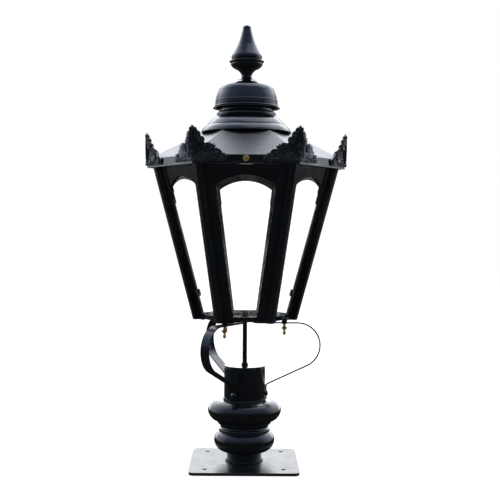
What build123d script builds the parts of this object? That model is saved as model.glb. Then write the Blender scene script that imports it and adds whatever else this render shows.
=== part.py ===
from build123d import *
from math import asin, atan, atan2, cos, degrees, hypot, radians, sin, sqrt, tan
import os

# Post top lantern: a square base plate with a spigot tube, a turned pedestal, a socket with a
# three-arm frog, a tapered hexagonal lantern and a lid that hinges up at the back.
# Millimetres. +Z is up, -Y is the front with the thumbscrew, +X is the lantern's right.
# The origin is the centre of the base plate's underside.

# Driving dimensions
SIDES = 6
ARMS = 3
fit = 0.3                    # gap between pieces that seat on each other
running = 0.05               # radial clearance of a turning fit

# Base plate and spigot tube
plate_side = 230.0
plate_t = 6.0
plate_corner_r = 12.0
anchor_spacing = 165.0
anchor_hole_d = 10.0
tube_d = 76.1
tube_wall = 3.2
cable_ledge = 4.85           # plate's hole inside the tube's bore
weld_leg = 3.0
tube_exposed = 22.0          # bare tube below the pedestal

# Pedestal, from its foot upward
pedestal_wall = 5.0
foot_w = 7.0                 # widths out from the tube's skin
lower_bulge_w = 27.5
band_w = 18.0
neck_w = 13.5
upper_foot_w = 22.0
upper_bulge_w = 41.6
pedestal_top_w = 14.0
lower_bulge_h = 42.0
band_h = 8.0
neck_h = 16.0
upper_bulge_h = 45.0
grub_d = 6.0

# Socket
socket_gap = 3.2             # between the spigot tube and the socket's bore
socket_wall = 3.2
socket_h = 72.0
socket_cap_t = 4.0
seat_ring_t = 3.0
spigot_gap = 14.0            # air above the spigot tube inside the socket

# Frog arms, flat strap
strap_t = 3.0
strap_w = 20.0
frog_h = 93.5                # socket top to the strap's centre line
arm_reach = 164.0
arm_curl_r = 48.5
arm_end_r = 20.0
arm_bend_r = 8.0
tab_low = 2.0                # tab's end above the socket's foot
tab_h = 30.0
arm_bolt_h = 11.0            # bolt above the socket's foot
arm_bolt_d = 8.0
arm_bolt_head_d = 13.0
arm_bolt_head_t = 3.5
arm_bolt_key = 5.0           # hexagon socket, across flats
knob_inset = 27.8            # studs inside the lantern's foot corners
stud_d = 6.0
spacer_h = 6.5
spacer_d = 12.0

# Conduit
conduit_d = 10.0
conduit_bore = 7.0
conduit_nut_d = 15.0
conduit_nut_t = 6.0
gland_d = 14.0
gland_h = 15.4

# Lantern body
body_h = 328.0               # corner posts, foot to top
body_foot_r = 113.3          # over the corners at the foot
body_top_r = 200.9           # over the corners at the top
foot_drop = 2.0              # posts reach below the tray
post_t = 2.0
post_flange = 11.0           # raised corner flange
post_step = 10.0             # the stile lies this far behind the flange
stile_edge = 33.5            # corner to the stile's free edge
tray_t = 2.0
tray_rim_h = 11.0
head_t = 2.0
head_leg_drop = 77.0         # leg ends below the post's top
arch_drop = 22.0             # crown below the post's top
arch_r = 93.0
head_proud = 1.5             # legs stand this far inside the stile edge
head_lap = 12.0
glass_t = 4.0
glass_edge = 20.0            # corner to the pane's edge
glass_top = 4.0              # pane's end below the ring
clip_h = 14.0
clip_arm = 19.0

# Ring, seal and lid
ring_t = 2.5
ring_over = 7.0              # ring's edge outside the posts' faces
ring_w = 29.0
seal_inset = 12.0
seal_w = 9.0
seal_t = 2.5
fascia_gap = 3.0             # ring's edge to the fascia's face
fascia_t = 1.5
fascia_h = 17.5
fascia_drop = 1.5            # lip below the ring
lip_proud = 1.07
lip_h = 3.5
roof_t = 1.5
roof_h = 72.6
roof_hole_gap = 12.8         # chimney's skin to the roof opening's corners

# Chimney, dome and finial
collar_top_r = 58.2
collar_skirt_w = 38.5        # rim outside the top
collar_h = 44.0
spun_t = 1.5
neck_below = 26.4            # chimney below the collar's top
neck_above = 16.6
dome_gap = 7.6               # dark gap between collar top and dome rim
dome_h = 58.0
dome_over = 9.2              # dome's wall outside the collar's top
dome_flare = 4.8
bead_r = 1.4
tie_d = 8.0
finial_h = 120.5

# Lamp
bridge_w = 24.0
bridge_t = 3.0
bridge_drop = 4.0            # below the chimney's top edge
bridge_screw_drop = 4.2      # screws below the bar's underside
holder_h = 48.0
lamp_d = 60.0
lamp_h = 104.0

# Corner ears
ear_t = 4.0
ear_foot = 4.5               # above the fascia's lower edge
ear_h = 71.0
ear_wing = 74.0
ear_screw_d = 4.0

# Hinge and thumbscrew
hinge_pin_d = 4.0
hinge_barrel_d = 8.0
hinge_w = 64.0
hinge_knuckle = 24.0
hinge_out = 6.0              # pin's axis behind the fascia
leaf_t = 2.5
thumb_d = 12.5
thumb_t = 4.0
thumb_shank_d = 5.0
thumb_h = 9.3                # axis above the ring
latch_w = 24.0
latch_gap = 0.8              # thumbscrew's shank to the notch
keeper_t = 0.7
clamp_nut_w = 12.0
clamp_nut_h = 8.0
clamp_nut_t = 5.0

# Derived sizes
COS30 = cos(radians(30))
tube_r = tube_d / 2
cable_hole_d = tube_d - 2 * (tube_wall + cable_ledge)
foot_r = tube_r + foot_w
lower_bulge_r = tube_r + lower_bulge_w
band_r = tube_r + band_w
neck_r = tube_r + neck_w
upper_foot_r = tube_r + upper_foot_w
upper_bulge_r = tube_r + upper_bulge_w
pedestal_top_r = tube_r + pedestal_top_w
socket_d = tube_d + 2 * (socket_gap + socket_wall)
knob_circle_r = body_foot_r - knob_inset
ring_outer = body_top_r * COS30 + ring_over          # apothems from here on
ring_inner = ring_outer - ring_w
seal_outer = ring_outer - seal_inset
seal_inner = seal_outer - seal_w
fascia_apothem = ring_outer + fascia_gap
collar_rim_r = collar_top_r + collar_skirt_w
neck_outer_r = collar_top_r - spun_t / 2 - fit
roof_top_r = neck_outer_r + roof_hole_gap
dome_wall_r = collar_top_r + dome_over
dome_rim_r = dome_wall_r + dome_flare

# Derived levels
pedestal_z = plate_t + tube_exposed
neck_z = pedestal_z + lower_bulge_h + band_h
upper_z = neck_z + neck_h
pedestal_top = upper_z + upper_bulge_h
socket_z = pedestal_top + seat_ring_t
socket_top = socket_z + socket_h
tube_top = socket_top - socket_cap_t - spigot_gap
strap_z = socket_top + frog_h
tray_z = strap_z + strap_t / 2 + spacer_h
foot_z = tray_z - foot_drop
ring_z = foot_z + body_h
seal_z = ring_z + ring_t
lid_z = seal_z + seal_t
fascia_z = ring_z - fascia_drop
roof_z = fascia_z + fascia_h
thumb_z = ring_z + thumb_h
roof_eave_r = (fascia_apothem + lip_proud) / COS30
ridge_slope = roof_h / (roof_eave_r - roof_top_r)
collar_z = roof_z + (roof_eave_r - collar_rim_r) * ridge_slope + spun_t * 0.8 + fit
collar_top = collar_z + collar_h
neck_top = collar_top + neck_above
dome_z = collar_top + dome_gap
dome_top = dome_z + dome_h
bridge_z = neck_top - bridge_drop - bridge_t
lean = (body_top_r - body_foot_r) / body_h
face_lean = degrees(atan(lean * COS30))
rim_depth = post_step + post_t + fit
glass_depth = rim_depth + head_t / cos(radians(face_lean)) + fit
hinge_y = fascia_apothem + hinge_out
hinge_z = fascia_z - hinge_barrel_d / 2


def corner_r(z):
    """Circumradius of the lantern's outer skin at height z."""
    return body_foot_r + (z - foot_z) * lean


def around(shape, count, start=0.0):
    """Copies of a shape turned about the lantern's axis."""
    return [Rot(0, 0, start + i * 360 / count) * shape for i in range(count)]


def profile(*edges):
    """A closed face in the plane through the axis: x is the radius, y the height."""
    return Plane.XZ * make_face(edges)


def turned(*edges):
    return revolve(profile(*edges), Axis.Z)


def cylinder(r, z0, z1):
    return Pos(0, 0, z0) * extrude(Circle(r), z1 - z0)


def tube(r_out, r_in, z0, z1):
    return Pos(0, 0, z0) * extrude(Circle(r_out) - Circle(r_in), z1 - z0)


def radial(shape, z, r=0.0):
    """Turns a shape built along +Z so that it points out along +X at height z."""
    return Pos(r, 0, z) * Rot(0, 90, 0) * shape


def hexagon(r, z):
    return Pos(0, 0, z) * RegularPolygon(r, SIDES)


def hex_frustum(r0, z0, r1, z1):
    """Six flat leaning sides, drawn in from the larger end."""
    taper = degrees(atan(abs(r0 - r1) * COS30 / (z1 - z0)))
    if r0 > r1:
        return extrude(hexagon(r0, z0), z1 - z0, taper=taper)
    return extrude(hexagon(r1, z1), z1 - z0, dir=(0, 0, -1), taper=taper)


def hex_ring(outer, inner, z, t):
    """A flat six-sided ring between two apothems."""
    return Pos(0, 0, z) * extrude(hexagon(outer / COS30, 0) - hexagon(inner / COS30, 0), t)


def crown(r, z, top):
    """Round end: an arc centred on the axis, from radius r at height z to the pole."""
    drop = abs(top - z)
    big = (r**2 + drop**2) / (2 * drop)
    half = atan2(r, big - drop) / 2
    sign = 1 if top > z else -1
    return ThreePointArc((r, z), (big * sin(half), top - sign * (big - big * cos(half))), (0, top))


def spun(wall, *edges, beads=()):
    """A spun shell: a wall of even thickness laid along an open line, with round beads on it."""
    line = Wire([edge for piece in edges for edge in piece.edges()])
    section = make_face(line.offset_2d(wall / 2, side=Side.BOTH))
    for r, z in beads:
        section += Pos(r, z) * Circle(bead_r)
    return revolve(Plane.XZ * section, Axis.Z)


def upright_cone(r0, r1, height):
    return Cone(r0, r1, height, align=(Align.CENTER, Align.CENTER, Align.MIN))


def bolt_head(across_flats, height):
    """Hexagon with its outer corners taken off by a cone."""
    prism = extrude(RegularPolygon(across_flats / 2, SIDES, major_radius=False), height)
    return prism & upright_cone(across_flats * 0.75, across_flats * 0.45, height * 2)


def nut(across_flats, height, bore_d):
    return bolt_head(across_flats, height) - Cylinder(bore_d / 2, height * 4)


def face_plane(z, depth):
    """Plane of the +X face, behind the outer skin by a horizontal depth; y runs up the slope."""
    tilt = radians(face_lean)
    start = corner_r(z) * COS30 - depth
    return Plane(origin=(start, 0, z), x_dir=(0, 1, 0), z_dir=(cos(tilt), 0, -sin(tilt)))


def up_slope(height):
    return height / cos(radians(face_lean))


# Base, pedestal and socket

def base_plate():
    plate = extrude(RectangleRounded(plate_side, plate_side, plate_corner_r), plate_t)
    plate = chamfer(plate.faces().sort_by(Axis.Z)[-1].edges(), 0.8)
    half = anchor_spacing / 2
    holes = [Pos(x, y, plate_t / 2) * Cylinder(anchor_hole_d / 2, plate_t * 2)
             for x in (-half, half) for y in (-half, half)]
    return plate - holes - Cylinder(cable_hole_d / 2, plate_t * 4)


def base_tube():
    r = tube_r
    bead = turned(
        Polyline((r, plate_t), (r + weld_leg, plate_t)),
        ThreePointArc((r + weld_leg, plate_t), (r + weld_leg * 0.6, plate_t + weld_leg * 0.6),
                      (r, plate_t + weld_leg)),
        Line((r, plate_t + weld_leg), (r, plate_t)),
    )
    return tube(r, r - tube_wall, plate_t, tube_top) + bead


def pedestal_face(bore):
    """Half section of the pedestal, outside as turned, inside a straight bore."""
    bulge_z = pedestal_z + lower_bulge_h * 0.6
    band_z = pedestal_z + lower_bulge_h
    step = neck_h / 4
    swell_z = upper_z + upper_bulge_h * 0.52
    return make_face([
        Line((bore, pedestal_z), (foot_r, pedestal_z)),
        ThreePointArc((foot_r, pedestal_z), (foot_r + (lower_bulge_r - foot_r) * 0.8,
                      pedestal_z + lower_bulge_h * 0.27), (lower_bulge_r, bulge_z)),
        ThreePointArc((lower_bulge_r, bulge_z), (lower_bulge_r - 2.6, bulge_z + lower_bulge_h * 0.22),
                      (band_r + 1, band_z)),
        Polyline((band_r + 1, band_z), (band_r - 1, band_z + 1), (band_r - 1, band_z + 2)),
        ThreePointArc((band_r - 1, band_z + 2), (band_r, band_z + band_h / 2 + 1),
                      (band_r - 1, band_z + band_h)),
        ThreePointArc((band_r - 1, band_z + band_h), (neck_r, neck_z + step), (neck_r + 3, neck_z + step * 2)),
        ThreePointArc((neck_r + 3, neck_z + step * 2), (upper_foot_r - 3, upper_z - step * 1.4),
                      (upper_foot_r - 1.5, upper_z - 1)),
        Line((upper_foot_r - 1.5, upper_z - 1), (upper_foot_r, upper_z)),
        ThreePointArc((upper_foot_r, upper_z), (upper_bulge_r - 6, upper_z + upper_bulge_h * 0.2),
                      (upper_bulge_r, swell_z)),
        ThreePointArc((upper_bulge_r, swell_z), (upper_bulge_r - 7.5, upper_z + upper_bulge_h * 0.87),
                      (pedestal_top_r, pedestal_top)),
        Polyline((pedestal_top_r, pedestal_top), (bore, pedestal_top), (bore, pedestal_z)),
    ])


def pedestal_core(bore):
    """Half section of the cavity: straight drafted walls, with a lip left at each end."""
    wall = pedestal_wall
    foot = pedestal_z + wall
    roof = pedestal_top - wall
    throat = neck_r - wall
    return make_face(Polyline(
        (bore, foot), (foot_r - wall, foot), (lower_bulge_r - wall, pedestal_z + lower_bulge_h * 0.6),
        (throat, neck_z - wall / 2), (throat, upper_z - wall), (upper_foot_r - wall, upper_z + wall / 2),
        (upper_bulge_r - wall, upper_z + upper_bulge_h * 0.52),
        (upper_bulge_r - 2 * wall - 3, upper_z + upper_bulge_h * 0.84), (pedestal_top_r - wall, roof),
        (bore, roof), (bore, foot)))


def pedestal_casting():
    """Hollow casting: two bulges and a cove, with a lip round the tube at each end."""
    bore = tube_r + fit
    casting = revolve(Plane.XZ * (pedestal_face(bore) - pedestal_core(bore)), Axis.Z)
    holes = around(radial(Cylinder(grub_d / 2 + 0.1, 60), neck_z + neck_h / 4, neck_r), ARMS, 90)
    return casting - holes


def pedestal_screws():
    """Grub screws in the dark neck, nose against the tube, hexagon socket outside."""
    start = tube_r + 0.1
    length = neck_r - start - 1
    key = extrude(RegularPolygon(grub_d / 4, SIDES), grub_d)
    body = Pos(0, 0, start) * extrude(Circle(grub_d / 2), length)
    screw = body - Pos(0, 0, start + length - grub_d / 2) * key
    return around(radial(screw, neck_z + neck_h / 4), ARMS, 90)


def socket_seat_ring():
    return tube(socket_d / 2 + 1.5, tube_r + fit, pedestal_top, socket_z)


def socket_sleeve():
    r = socket_d / 2
    wall = tube(r, r - socket_wall, socket_z, socket_top - socket_cap_t)
    holes = around(radial(Cylinder(arm_bolt_d / 2 + 0.1, 40), socket_z + arm_bolt_h, r), ARMS)
    return wall - holes


def socket_cap():
    disc = cylinder(socket_d / 2, socket_top - socket_cap_t, socket_top)
    disc = chamfer(disc.faces().sort_by(Axis.Z)[-1].edges(), 0.8)
    return disc - cylinder(conduit_d / 2 + fit, socket_top - 20, socket_top + 20)


# Frog: three flat arms, their bolts, studs and spacers

def arm_path():
    """Centre line of an arm: socket tab, straight run, curl and top strap."""
    tab_r = socket_d / 2 + fit + strap_t / 2
    tab_top = socket_z + tab_low + tab_h
    curl_r = arm_reach - arm_curl_r - strap_t / 2
    curl_z = strap_z - arm_curl_r
    away = hypot(curl_r - tab_r, curl_z - tab_top)
    rise = atan2(curl_z - tab_top, curl_r - tab_r) - asin(arm_curl_r / away)
    run = sqrt(away**2 - arm_curl_r**2)
    touch = (tab_r + run * cos(rise), tab_top + run * sin(rise))
    out = radians(-30)
    tab = FilletPolyline((tab_r, socket_z + tab_low), (tab_r, tab_top), touch, radius=arm_bend_r)
    widest = (curl_r + arm_curl_r * cos(out), curl_z + arm_curl_r * sin(out))
    curl = ThreePointArc(touch, widest, (curl_r, strap_z))
    top = Line((curl_r, strap_z), (arm_end_r, strap_z))
    return tab.edges() + curl.edges() + top.edges()


def frog_arm():
    line = Wire(arm_path())
    side = make_face(line.offset_2d(strap_t / 2, side=Side.BOTH))
    strap = Pos(0, strap_w / 2, 0) * extrude(Plane.XZ * side, strap_w)
    bolt_hole = radial(Cylinder(arm_bolt_d / 2 + 0.5, 30), socket_z + arm_bolt_h, socket_d / 2)
    stud_hole = Pos(knob_circle_r, 0, strap_z) * Cylinder(stud_d / 2 + fit, strap_t * 3)
    return strap - bolt_hole - stud_hole


def arm_bolts():
    """Button-head screws through the arms' tabs and the socket, nose against the tube."""
    seat = socket_d / 2 + fit + strap_t
    nose = tube_r + fit
    top = seat + arm_bolt_head_t
    head_r = arm_bolt_head_d / 2
    bolt = turned(
        Polyline((0, nose), (arm_bolt_d / 2, nose), (arm_bolt_d / 2, seat), (head_r, seat), (head_r, seat + 0.6)),
        crown(head_r, seat + 0.6, top),
        Line((0, top), (0, nose)),
    )
    key = Pos(0, 0, top - 2) * extrude(RegularPolygon(arm_bolt_key / 2, SIDES, major_radius=False), 4)
    return around(radial(bolt - key, socket_z + arm_bolt_h), ARMS)


def drop_knobs():
    """Brass turned drops, each with the stud that holds an arm under the tray."""
    top = strap_z - strap_t / 2
    stud_top = tray_z + tray_t + 8
    knob = turned(
        Polyline((0, top - 26), (0, stud_top), (stud_d / 2, stud_top), (stud_d / 2, top), (5, top), (5, top - 1.5),
                 (2.6, top - 3), (2.6, top - 5), (6.5, top - 10), (6.5, top - 11), (2.2, top - 15.5),
                 (2.2, top - 18.2)),
        crown(2.2, top - 18.2, top - 26),
    )
    return around(Pos(knob_circle_r, 0, 0) * knob, ARMS)


def arm_spacers():
    ring = tube(spacer_d / 2, stud_d / 2 + 0.2, tray_z - spacer_h, tray_z)
    return around(Pos(knob_circle_r, 0, 0) * ring, ARMS)


def stud_nuts():
    piece = Pos(knob_circle_r, 0, tray_z + tray_t) * nut(10, 5, stud_d + 0.2)
    return around(piece, ARMS)


# Conduit

def centre_conduit():
    start = socket_top - socket_cap_t - conduit_nut_t - 2
    return tube(conduit_d / 2, conduit_bore / 2, start, tray_z + tray_t + 6)


def conduit_nuts():
    """Lock nuts: on the socket cap, under it, and under the lantern's tray."""
    r = conduit_nut_d / 2
    bore = conduit_d / 2 + 0.1
    foot = turned(
        Line((bore, socket_top), (r, socket_top)),
        Line((r, socket_top), (r, socket_top + 3)),
        ThreePointArc((r, socket_top + 3), (r - 0.8, socket_top + 5.2), (bore, socket_top + 7)),
        Line((bore, socket_top + 7), (bore, socket_top)),
    )
    cap_foot = socket_top - socket_cap_t
    under_cap = Pos(0, 0, cap_foot - conduit_nut_t) * nut(conduit_nut_d, conduit_nut_t, 2 * bore)
    under_tray = Pos(0, 0, tray_z - 5) * nut(conduit_nut_d, 5, 2 * bore)
    return [foot, under_cap, under_tray]


def cable_gland():
    base = tray_z + tray_t
    r = gland_d / 2
    bore = conduit_d / 2 + 0.1
    body = turned(
        Polyline((0, base), (r, base), (r, base + 5), (r - 0.8, base + 5), (r - 0.8, base + gland_h - 5)),
        ThreePointArc((r - 0.8, base + gland_h - 5), (r - 2.2, base + gland_h - 1.4), (r - 4, base + gland_h)),
        Polyline((r - 4, base + gland_h), (0, base + gland_h), (0, base)),
    )
    return body - cylinder(bore, base - 1, base + 6.2) - cylinder(conduit_bore / 2 - 1, base, base + gland_h + 1)


# Lantern body

def floor_tray():
    """Six-sided pan: floor, leaning rim, holes for the conduit, the studs and drainage."""
    top = tray_z + tray_rim_h
    inset = rim_depth / COS30
    wall = inset + tray_t / COS30
    pan = hex_frustum(corner_r(tray_z) - inset, tray_z, corner_r(top) - inset, top)
    floor = tray_z + tray_t
    inside = hex_frustum(corner_r(floor) - wall, floor, corner_r(top + 1) - wall, top + 1)
    stud_holes = around(Pos(knob_circle_r, 0, tray_z) * Cylinder(stud_d / 2 + fit, 20), ARMS)
    drains = around(Pos(knob_circle_r * 0.7, 0, tray_z) * Cylinder(3, 20), ARMS, 60)
    return pan - inside - stud_holes - drains - cylinder(conduit_d / 2 + fit, tray_z - 5, tray_z + 20)


def post_section():
    """Folded corner post: raised V with two steps back to flat stiles."""
    def leg(side, *points):
        along = Vector(-0.5, side * COS30)
        inward = Vector(-COS30, -side * 0.5)
        return [Vector(body_foot_r, 0) + along * a + inward * b for a, b in points]

    back = post_step + post_t
    web = post_flange - post_t
    outer = ((stile_edge, back), (stile_edge, post_step), (post_flange, post_step), (post_flange, 0))
    inner = ((web, back), (web, post_t))
    nose = [Vector(body_foot_r, 0)]
    throat = [Vector(body_foot_r - post_t / COS30, 0)]
    points = leg(1, *outer) + nose + leg(-1, *reversed(outer)) + leg(-1, *inner) + throat
    points += leg(1, *reversed(inner))
    return make_face(Polyline(*points, close=True))


def corner_post():
    section = Pos(0, 0, foot_z) * post_section()
    run = Vector(lean, 0, 1)
    post = extrude(section, body_h * run.length, dir=run)
    edge = post.edges().sort_by(lambda e: (e @ 0.5).X)[-1]
    return fillet(edge, post_t * 0.6)


def head_plate():
    """Arched plate behind the stiles, with a leg down each side."""
    leg_z = ring_z - head_leg_drop
    plane = face_plane(leg_z, rim_depth)
    half = corner_r(leg_z) / 2
    top = up_slope(ring_z - 1 - leg_z)
    flare = lean / 2 * cos(radians(face_lean))
    out0 = half - stile_edge + head_lap
    in0 = half - stile_edge - head_proud
    crown = up_slope(head_leg_drop - arch_drop)
    centre = crown - arch_r
    a = 1 + flare**2
    b = in0 * flare - centre
    spring = (-b + sqrt(b**2 - a * (in0**2 + centre**2 - arch_r**2))) / a
    spring_x = in0 + flare * spring
    blank = make_face(Polyline((-out0, 0), (out0, 0), (out0 + flare * top, top), (-out0 - flare * top, top),
                               (-out0, 0)))
    arch = make_face([
        Polyline((spring_x, spring), (in0 - flare, -1), (-in0 + flare, -1), (-spring_x, spring)),
        ThreePointArc((-spring_x, spring), (0, crown), (spring_x, spring)),
    ])
    return extrude(plane * (blank - arch), -head_t)


def glass_pane():
    start = tray_z + tray_t + fit
    plane = face_plane(start, glass_depth)
    half = corner_r(start) / 2 - glass_edge
    top = up_slope(ring_z - glass_top - start)
    flare = lean / 2 * cos(radians(face_lean))
    outline = Polyline((-half, 0), (half, 0), (half + flare * top, top), (-half - flare * top, top), (-half, 0))
    return extrude(plane * make_face(outline), -glass_t)


def pane_clip_levels():
    return [foot_z + body_h * share for share in (0.18, 0.86)]


def pane_clip(z):
    """Bent clip behind two panes, on a spacer against the post's closed rib."""
    depth = glass_depth + glass_t / cos(radians(face_lean)) + fit
    apex = corner_r(z) - depth / COS30
    leg = make_face(Polyline(
        (0, 0), (-clip_arm * 0.5, clip_arm * COS30), (-clip_arm * 0.5 - 2 * COS30, clip_arm * COS30 - 1),
        (-2 / COS30, 0), (0, 0)))
    bent = leg + mirror(leg, Plane.XZ)
    plate = Pos(apex - clip_h / 2 * lean, 0, z - clip_h / 2) * extrude(bent, clip_h, dir=Vector(lean, 0, 1))
    reach = depth / COS30 - (post_step + post_t) / COS30 - 1.6
    spacer = radial(extrude(Circle(3.5), reach), z, apex - 1)
    return plate + spacer - radial(Cylinder(1.9, 80), z, apex)


def pane_clips():
    return [piece for z in pane_clip_levels() for piece in around(pane_clip(z), SIDES)]


def clip_screws():
    """Pan-head screws through the clips into the slot between a post's folded webs."""
    depth = glass_depth + glass_t / cos(radians(face_lean)) + fit
    screws = []
    for z in pane_clip_levels():
        back = corner_r(z) - depth / COS30 - 2 / COS30 - 2.2
        reach = depth / COS30 - post_step / COS30 + 3
        head = Pos(0, 0, back - 2.4) * extrude(Circle(3.5), 2.4)
        shank = Pos(0, 0, back) * extrude(Circle(1.6), reach)
        screws += around(radial(head + shank, z), SIDES)
    return screws


def top_ring():
    return hex_ring(ring_outer, ring_inner, ring_z, ring_t)


def lid_seal():
    return hex_ring(seal_outer, seal_inner, seal_z, seal_t)


def latch_tab():
    """Angle on the ring's front with an open-topped notch for the thumbscrew."""
    height = thumb_h + 5.5 - ring_t
    front = -ring_outer
    wall = Pos(0, front + leaf_t / 2, seal_z + height / 2) * Box(latch_w, leaf_t, height)
    wall = fillet(wall.edges().filter_by(Axis.Y).group_by(Axis.Z)[-1], 4)
    foot = Pos(0, front + 5.25, seal_z + leaf_t / 2) * Box(latch_w, 10.5, leaf_t)
    r = thumb_shank_d / 2 + latch_gap
    notch = Pos(0, front, thumb_z) * Rot(90, 0, 0) * Cylinder(r, 20)
    notch += Pos(0, front, thumb_z + height / 2) * Box(2 * r, 20, height)
    return wall + foot - notch


# Hinge at the back of the lid

def hinge_barrel(x0, x1):
    barrel = Pos(x0, hinge_y, hinge_z) * Rot(0, 90, 0) * extrude(Circle(hinge_barrel_d / 2), x1 - x0)
    return barrel - Pos(0, hinge_y, hinge_z) * Rot(0, 90, 0) * Cylinder(hinge_pin_d / 2 + running, hinge_w * 2)


def hinge_leaf_body():
    """Fixed leaf under the ring, with a finger to each outer knuckle."""
    half = hinge_w / 2
    inner = hinge_knuckle / 2 + fit
    root = ring_outer - 5
    web = Pos(0, root + leaf_t / 2, (hinge_z - leaf_t / 2 + ring_z) / 2) * Box(
        hinge_w, leaf_t, ring_z - hinge_z + leaf_t / 2)
    shelf = Pos(0, (root + hinge_y - hinge_out) / 2, hinge_z) * Box(hinge_w, hinge_y - hinge_out - root, leaf_t)
    bore = Pos(0, hinge_y, hinge_z) * Rot(0, 90, 0) * Cylinder(hinge_pin_d / 2 + running, hinge_w * 2)
    leaf = web + shelf
    for side in (-1, 1):
        x0, x1 = sorted((side * inner, side * half))
        finger = Pos((x0 + x1) / 2, (root + hinge_y) / 2, hinge_z) * Box(x1 - x0, hinge_y - root, leaf_t)
        leaf = leaf + finger + Pos(x0, hinge_y, hinge_z) * Rot(0, 90, 0) * extrude(
            Circle(hinge_barrel_d / 2), x1 - x0)
    return leaf - bore


def hinge_leaf_lid():
    """Moving leaf on the back of the fascia, with the middle knuckle."""
    top = roof_z - 1.5
    skin = fascia_apothem + lip_proud + fit / 10
    pad_z = fascia_z + lip_h + 0.5
    plate_z = fascia_z + 1.2
    plate = Pos(0, skin + leaf_t / 2, (plate_z + top) / 2) * Box(hinge_w, leaf_t, top - plate_z)
    pad = Pos(0, (fascia_apothem + skin) / 2, (pad_z + top) / 2) * Box(hinge_w, skin - fascia_apothem, top - pad_z)
    tongue = Pos(0, skin + leaf_t / 2, (hinge_z + plate_z) / 2) * Box(hinge_knuckle, leaf_t, plate_z - hinge_z)
    knuckle = hinge_barrel(-hinge_knuckle / 2, hinge_knuckle / 2)
    bore = Pos(0, hinge_y, hinge_z) * Rot(0, 90, 0) * Cylinder(hinge_pin_d / 2 + running, hinge_w)
    leaf = plate + pad + tongue + knuckle - bore
    for x in (-hinge_w * 0.33, hinge_w * 0.33):
        leaf -= Pos(x, skin, (pad_z + top) / 2) * Rot(90, 0, 0) * Cylinder(1.7, 30)
    return leaf


def hinge_pin():
    half = hinge_w / 2 + 0.6
    pin = Pos(-half, hinge_y, hinge_z) * Rot(0, 90, 0) * extrude(Circle(hinge_pin_d / 2), 2 * half)
    for x in (-half - 1.5, half):
        pin += Pos(x, hinge_y, hinge_z) * Rot(0, 90, 0) * extrude(Circle(hinge_barrel_d / 2 - 0.8), 1.5)
    return pin


# Lid

def fascia():
    """Folded band: rolled lip, upright face and an inner flange that sits on the seal."""
    band = hex_ring(fascia_apothem, fascia_apothem - fascia_t, fascia_z, fascia_h)
    lip = hex_ring(fascia_apothem + lip_proud, fascia_apothem - fascia_t, fascia_z, lip_h)
    lip = chamfer(lip.faces().sort_by(Axis.Z)[-1].outer_wire().edges(), lip_proud * 0.8)
    flange = hex_ring(fascia_apothem - fascia_t / 2, seal_inner, lid_z, fascia_t)
    room_y = 15
    room = Pos(0, room_y / 2 + fascia_t - fascia_apothem, lid_z) * Box(latch_w + 6, room_y, fascia_t * 4)
    screw_hole = Pos(0, -fascia_apothem, thumb_z) * Rot(90, 0, 0) * Cylinder(thumb_shank_d / 2 + running, 10)
    hinge_holes = [Pos(x, fascia_apothem, fascia_z + (lip_h + 0.5 + fascia_h - 1.5) / 2) * Rot(90, 0, 0)
                   * Cylinder(1.6, 10) for x in (-hinge_w * 0.33, hinge_w * 0.33)]
    return band + lip + flange - room - screw_hole - hinge_holes - ear_screw_holes(ear_screw_d / 2 - 0.2)


def roof_shell():
    """Six flat facets from the eave to the chimney opening, with a drip edge."""
    outer = hex_frustum(roof_eave_r, roof_z, roof_top_r, roof_z + roof_h)
    drop = roof_t * sqrt(1 + (ridge_slope / COS30)**2)
    inner = Pos(0, 0, -drop) * hex_frustum(roof_eave_r, roof_z, roof_top_r, roof_z + roof_h)
    extra = hex_frustum(roof_top_r, roof_z + roof_h - drop, roof_top_r, roof_z + roof_h + 1)
    shell = outer - inner - extra
    rim = hex_ring(fascia_apothem, fascia_apothem - 8, roof_z, roof_t)
    return shell + rim


def roof_collar():
    """Spun skirt over the ridges: two convex bands with a crease, a groove and a rounded top."""
    z, top, rim, r = collar_z, collar_top, collar_rim_r, collar_top_r
    edges = [
        ThreePointArc((rim, z), (rim - 4.9, z + 7.6), (rim - 11.3, z + 13.2)),
        Line((rim - 11.3, z + 13.2), (rim - 13, z + 14.5)),
        ThreePointArc((rim - 13, z + 14.5), (rim - 21.6, z + 24.6), (r + 6.2, top - 10.2)),
        Polyline((r + 6.2, top - 10.2), (r + 3, top - 8.7), (r + 4, top - 6.9)),
        ThreePointArc((r + 4, top - 6.9), (r + 3, top - 3), (r, top)),
    ]
    return spun(spun_t, *edges)


def chimney_neck():
    wall = tube(neck_outer_r, neck_outer_r - spun_t, collar_top - neck_below, neck_top)
    holes = around(radial(Cylinder(2.2, 40), bridge_z - bridge_screw_drop, neck_outer_r), 2)
    return wall - holes


def dome():
    """Spun dome: flared rim, a roll above it, one bead on the wall and a flat crown."""
    z, top = dome_z, dome_top
    r = dome_wall_r - spun_t / 2
    edges = [
        Polyline((dome_rim_r, z), (r + 1, z + 2.4), (r, z + 3.6)),
        ThreePointArc((r, z + 3.6), (r - 0.2, z + 10), (r - 1, z + 16)),
        ThreePointArc((r - 1, z + 16), (r - 3.1, z + 26), (r - 6.6, z + 35.8)),
        ThreePointArc((r - 6.6, z + 35.8), (r - 11, z + 44), (r - 19.4, z + 50)),
        ThreePointArc((r - 19.4, z + 50), (r - 31.1, z + 54.8), (20, top)),
        Line((20, top), (tie_d / 2 + 1.2, top)),
    ]
    return spun(spun_t, *edges, beads=((r + 0.2, z + 3.2), (r - 0.4, z + 16)))


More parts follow.
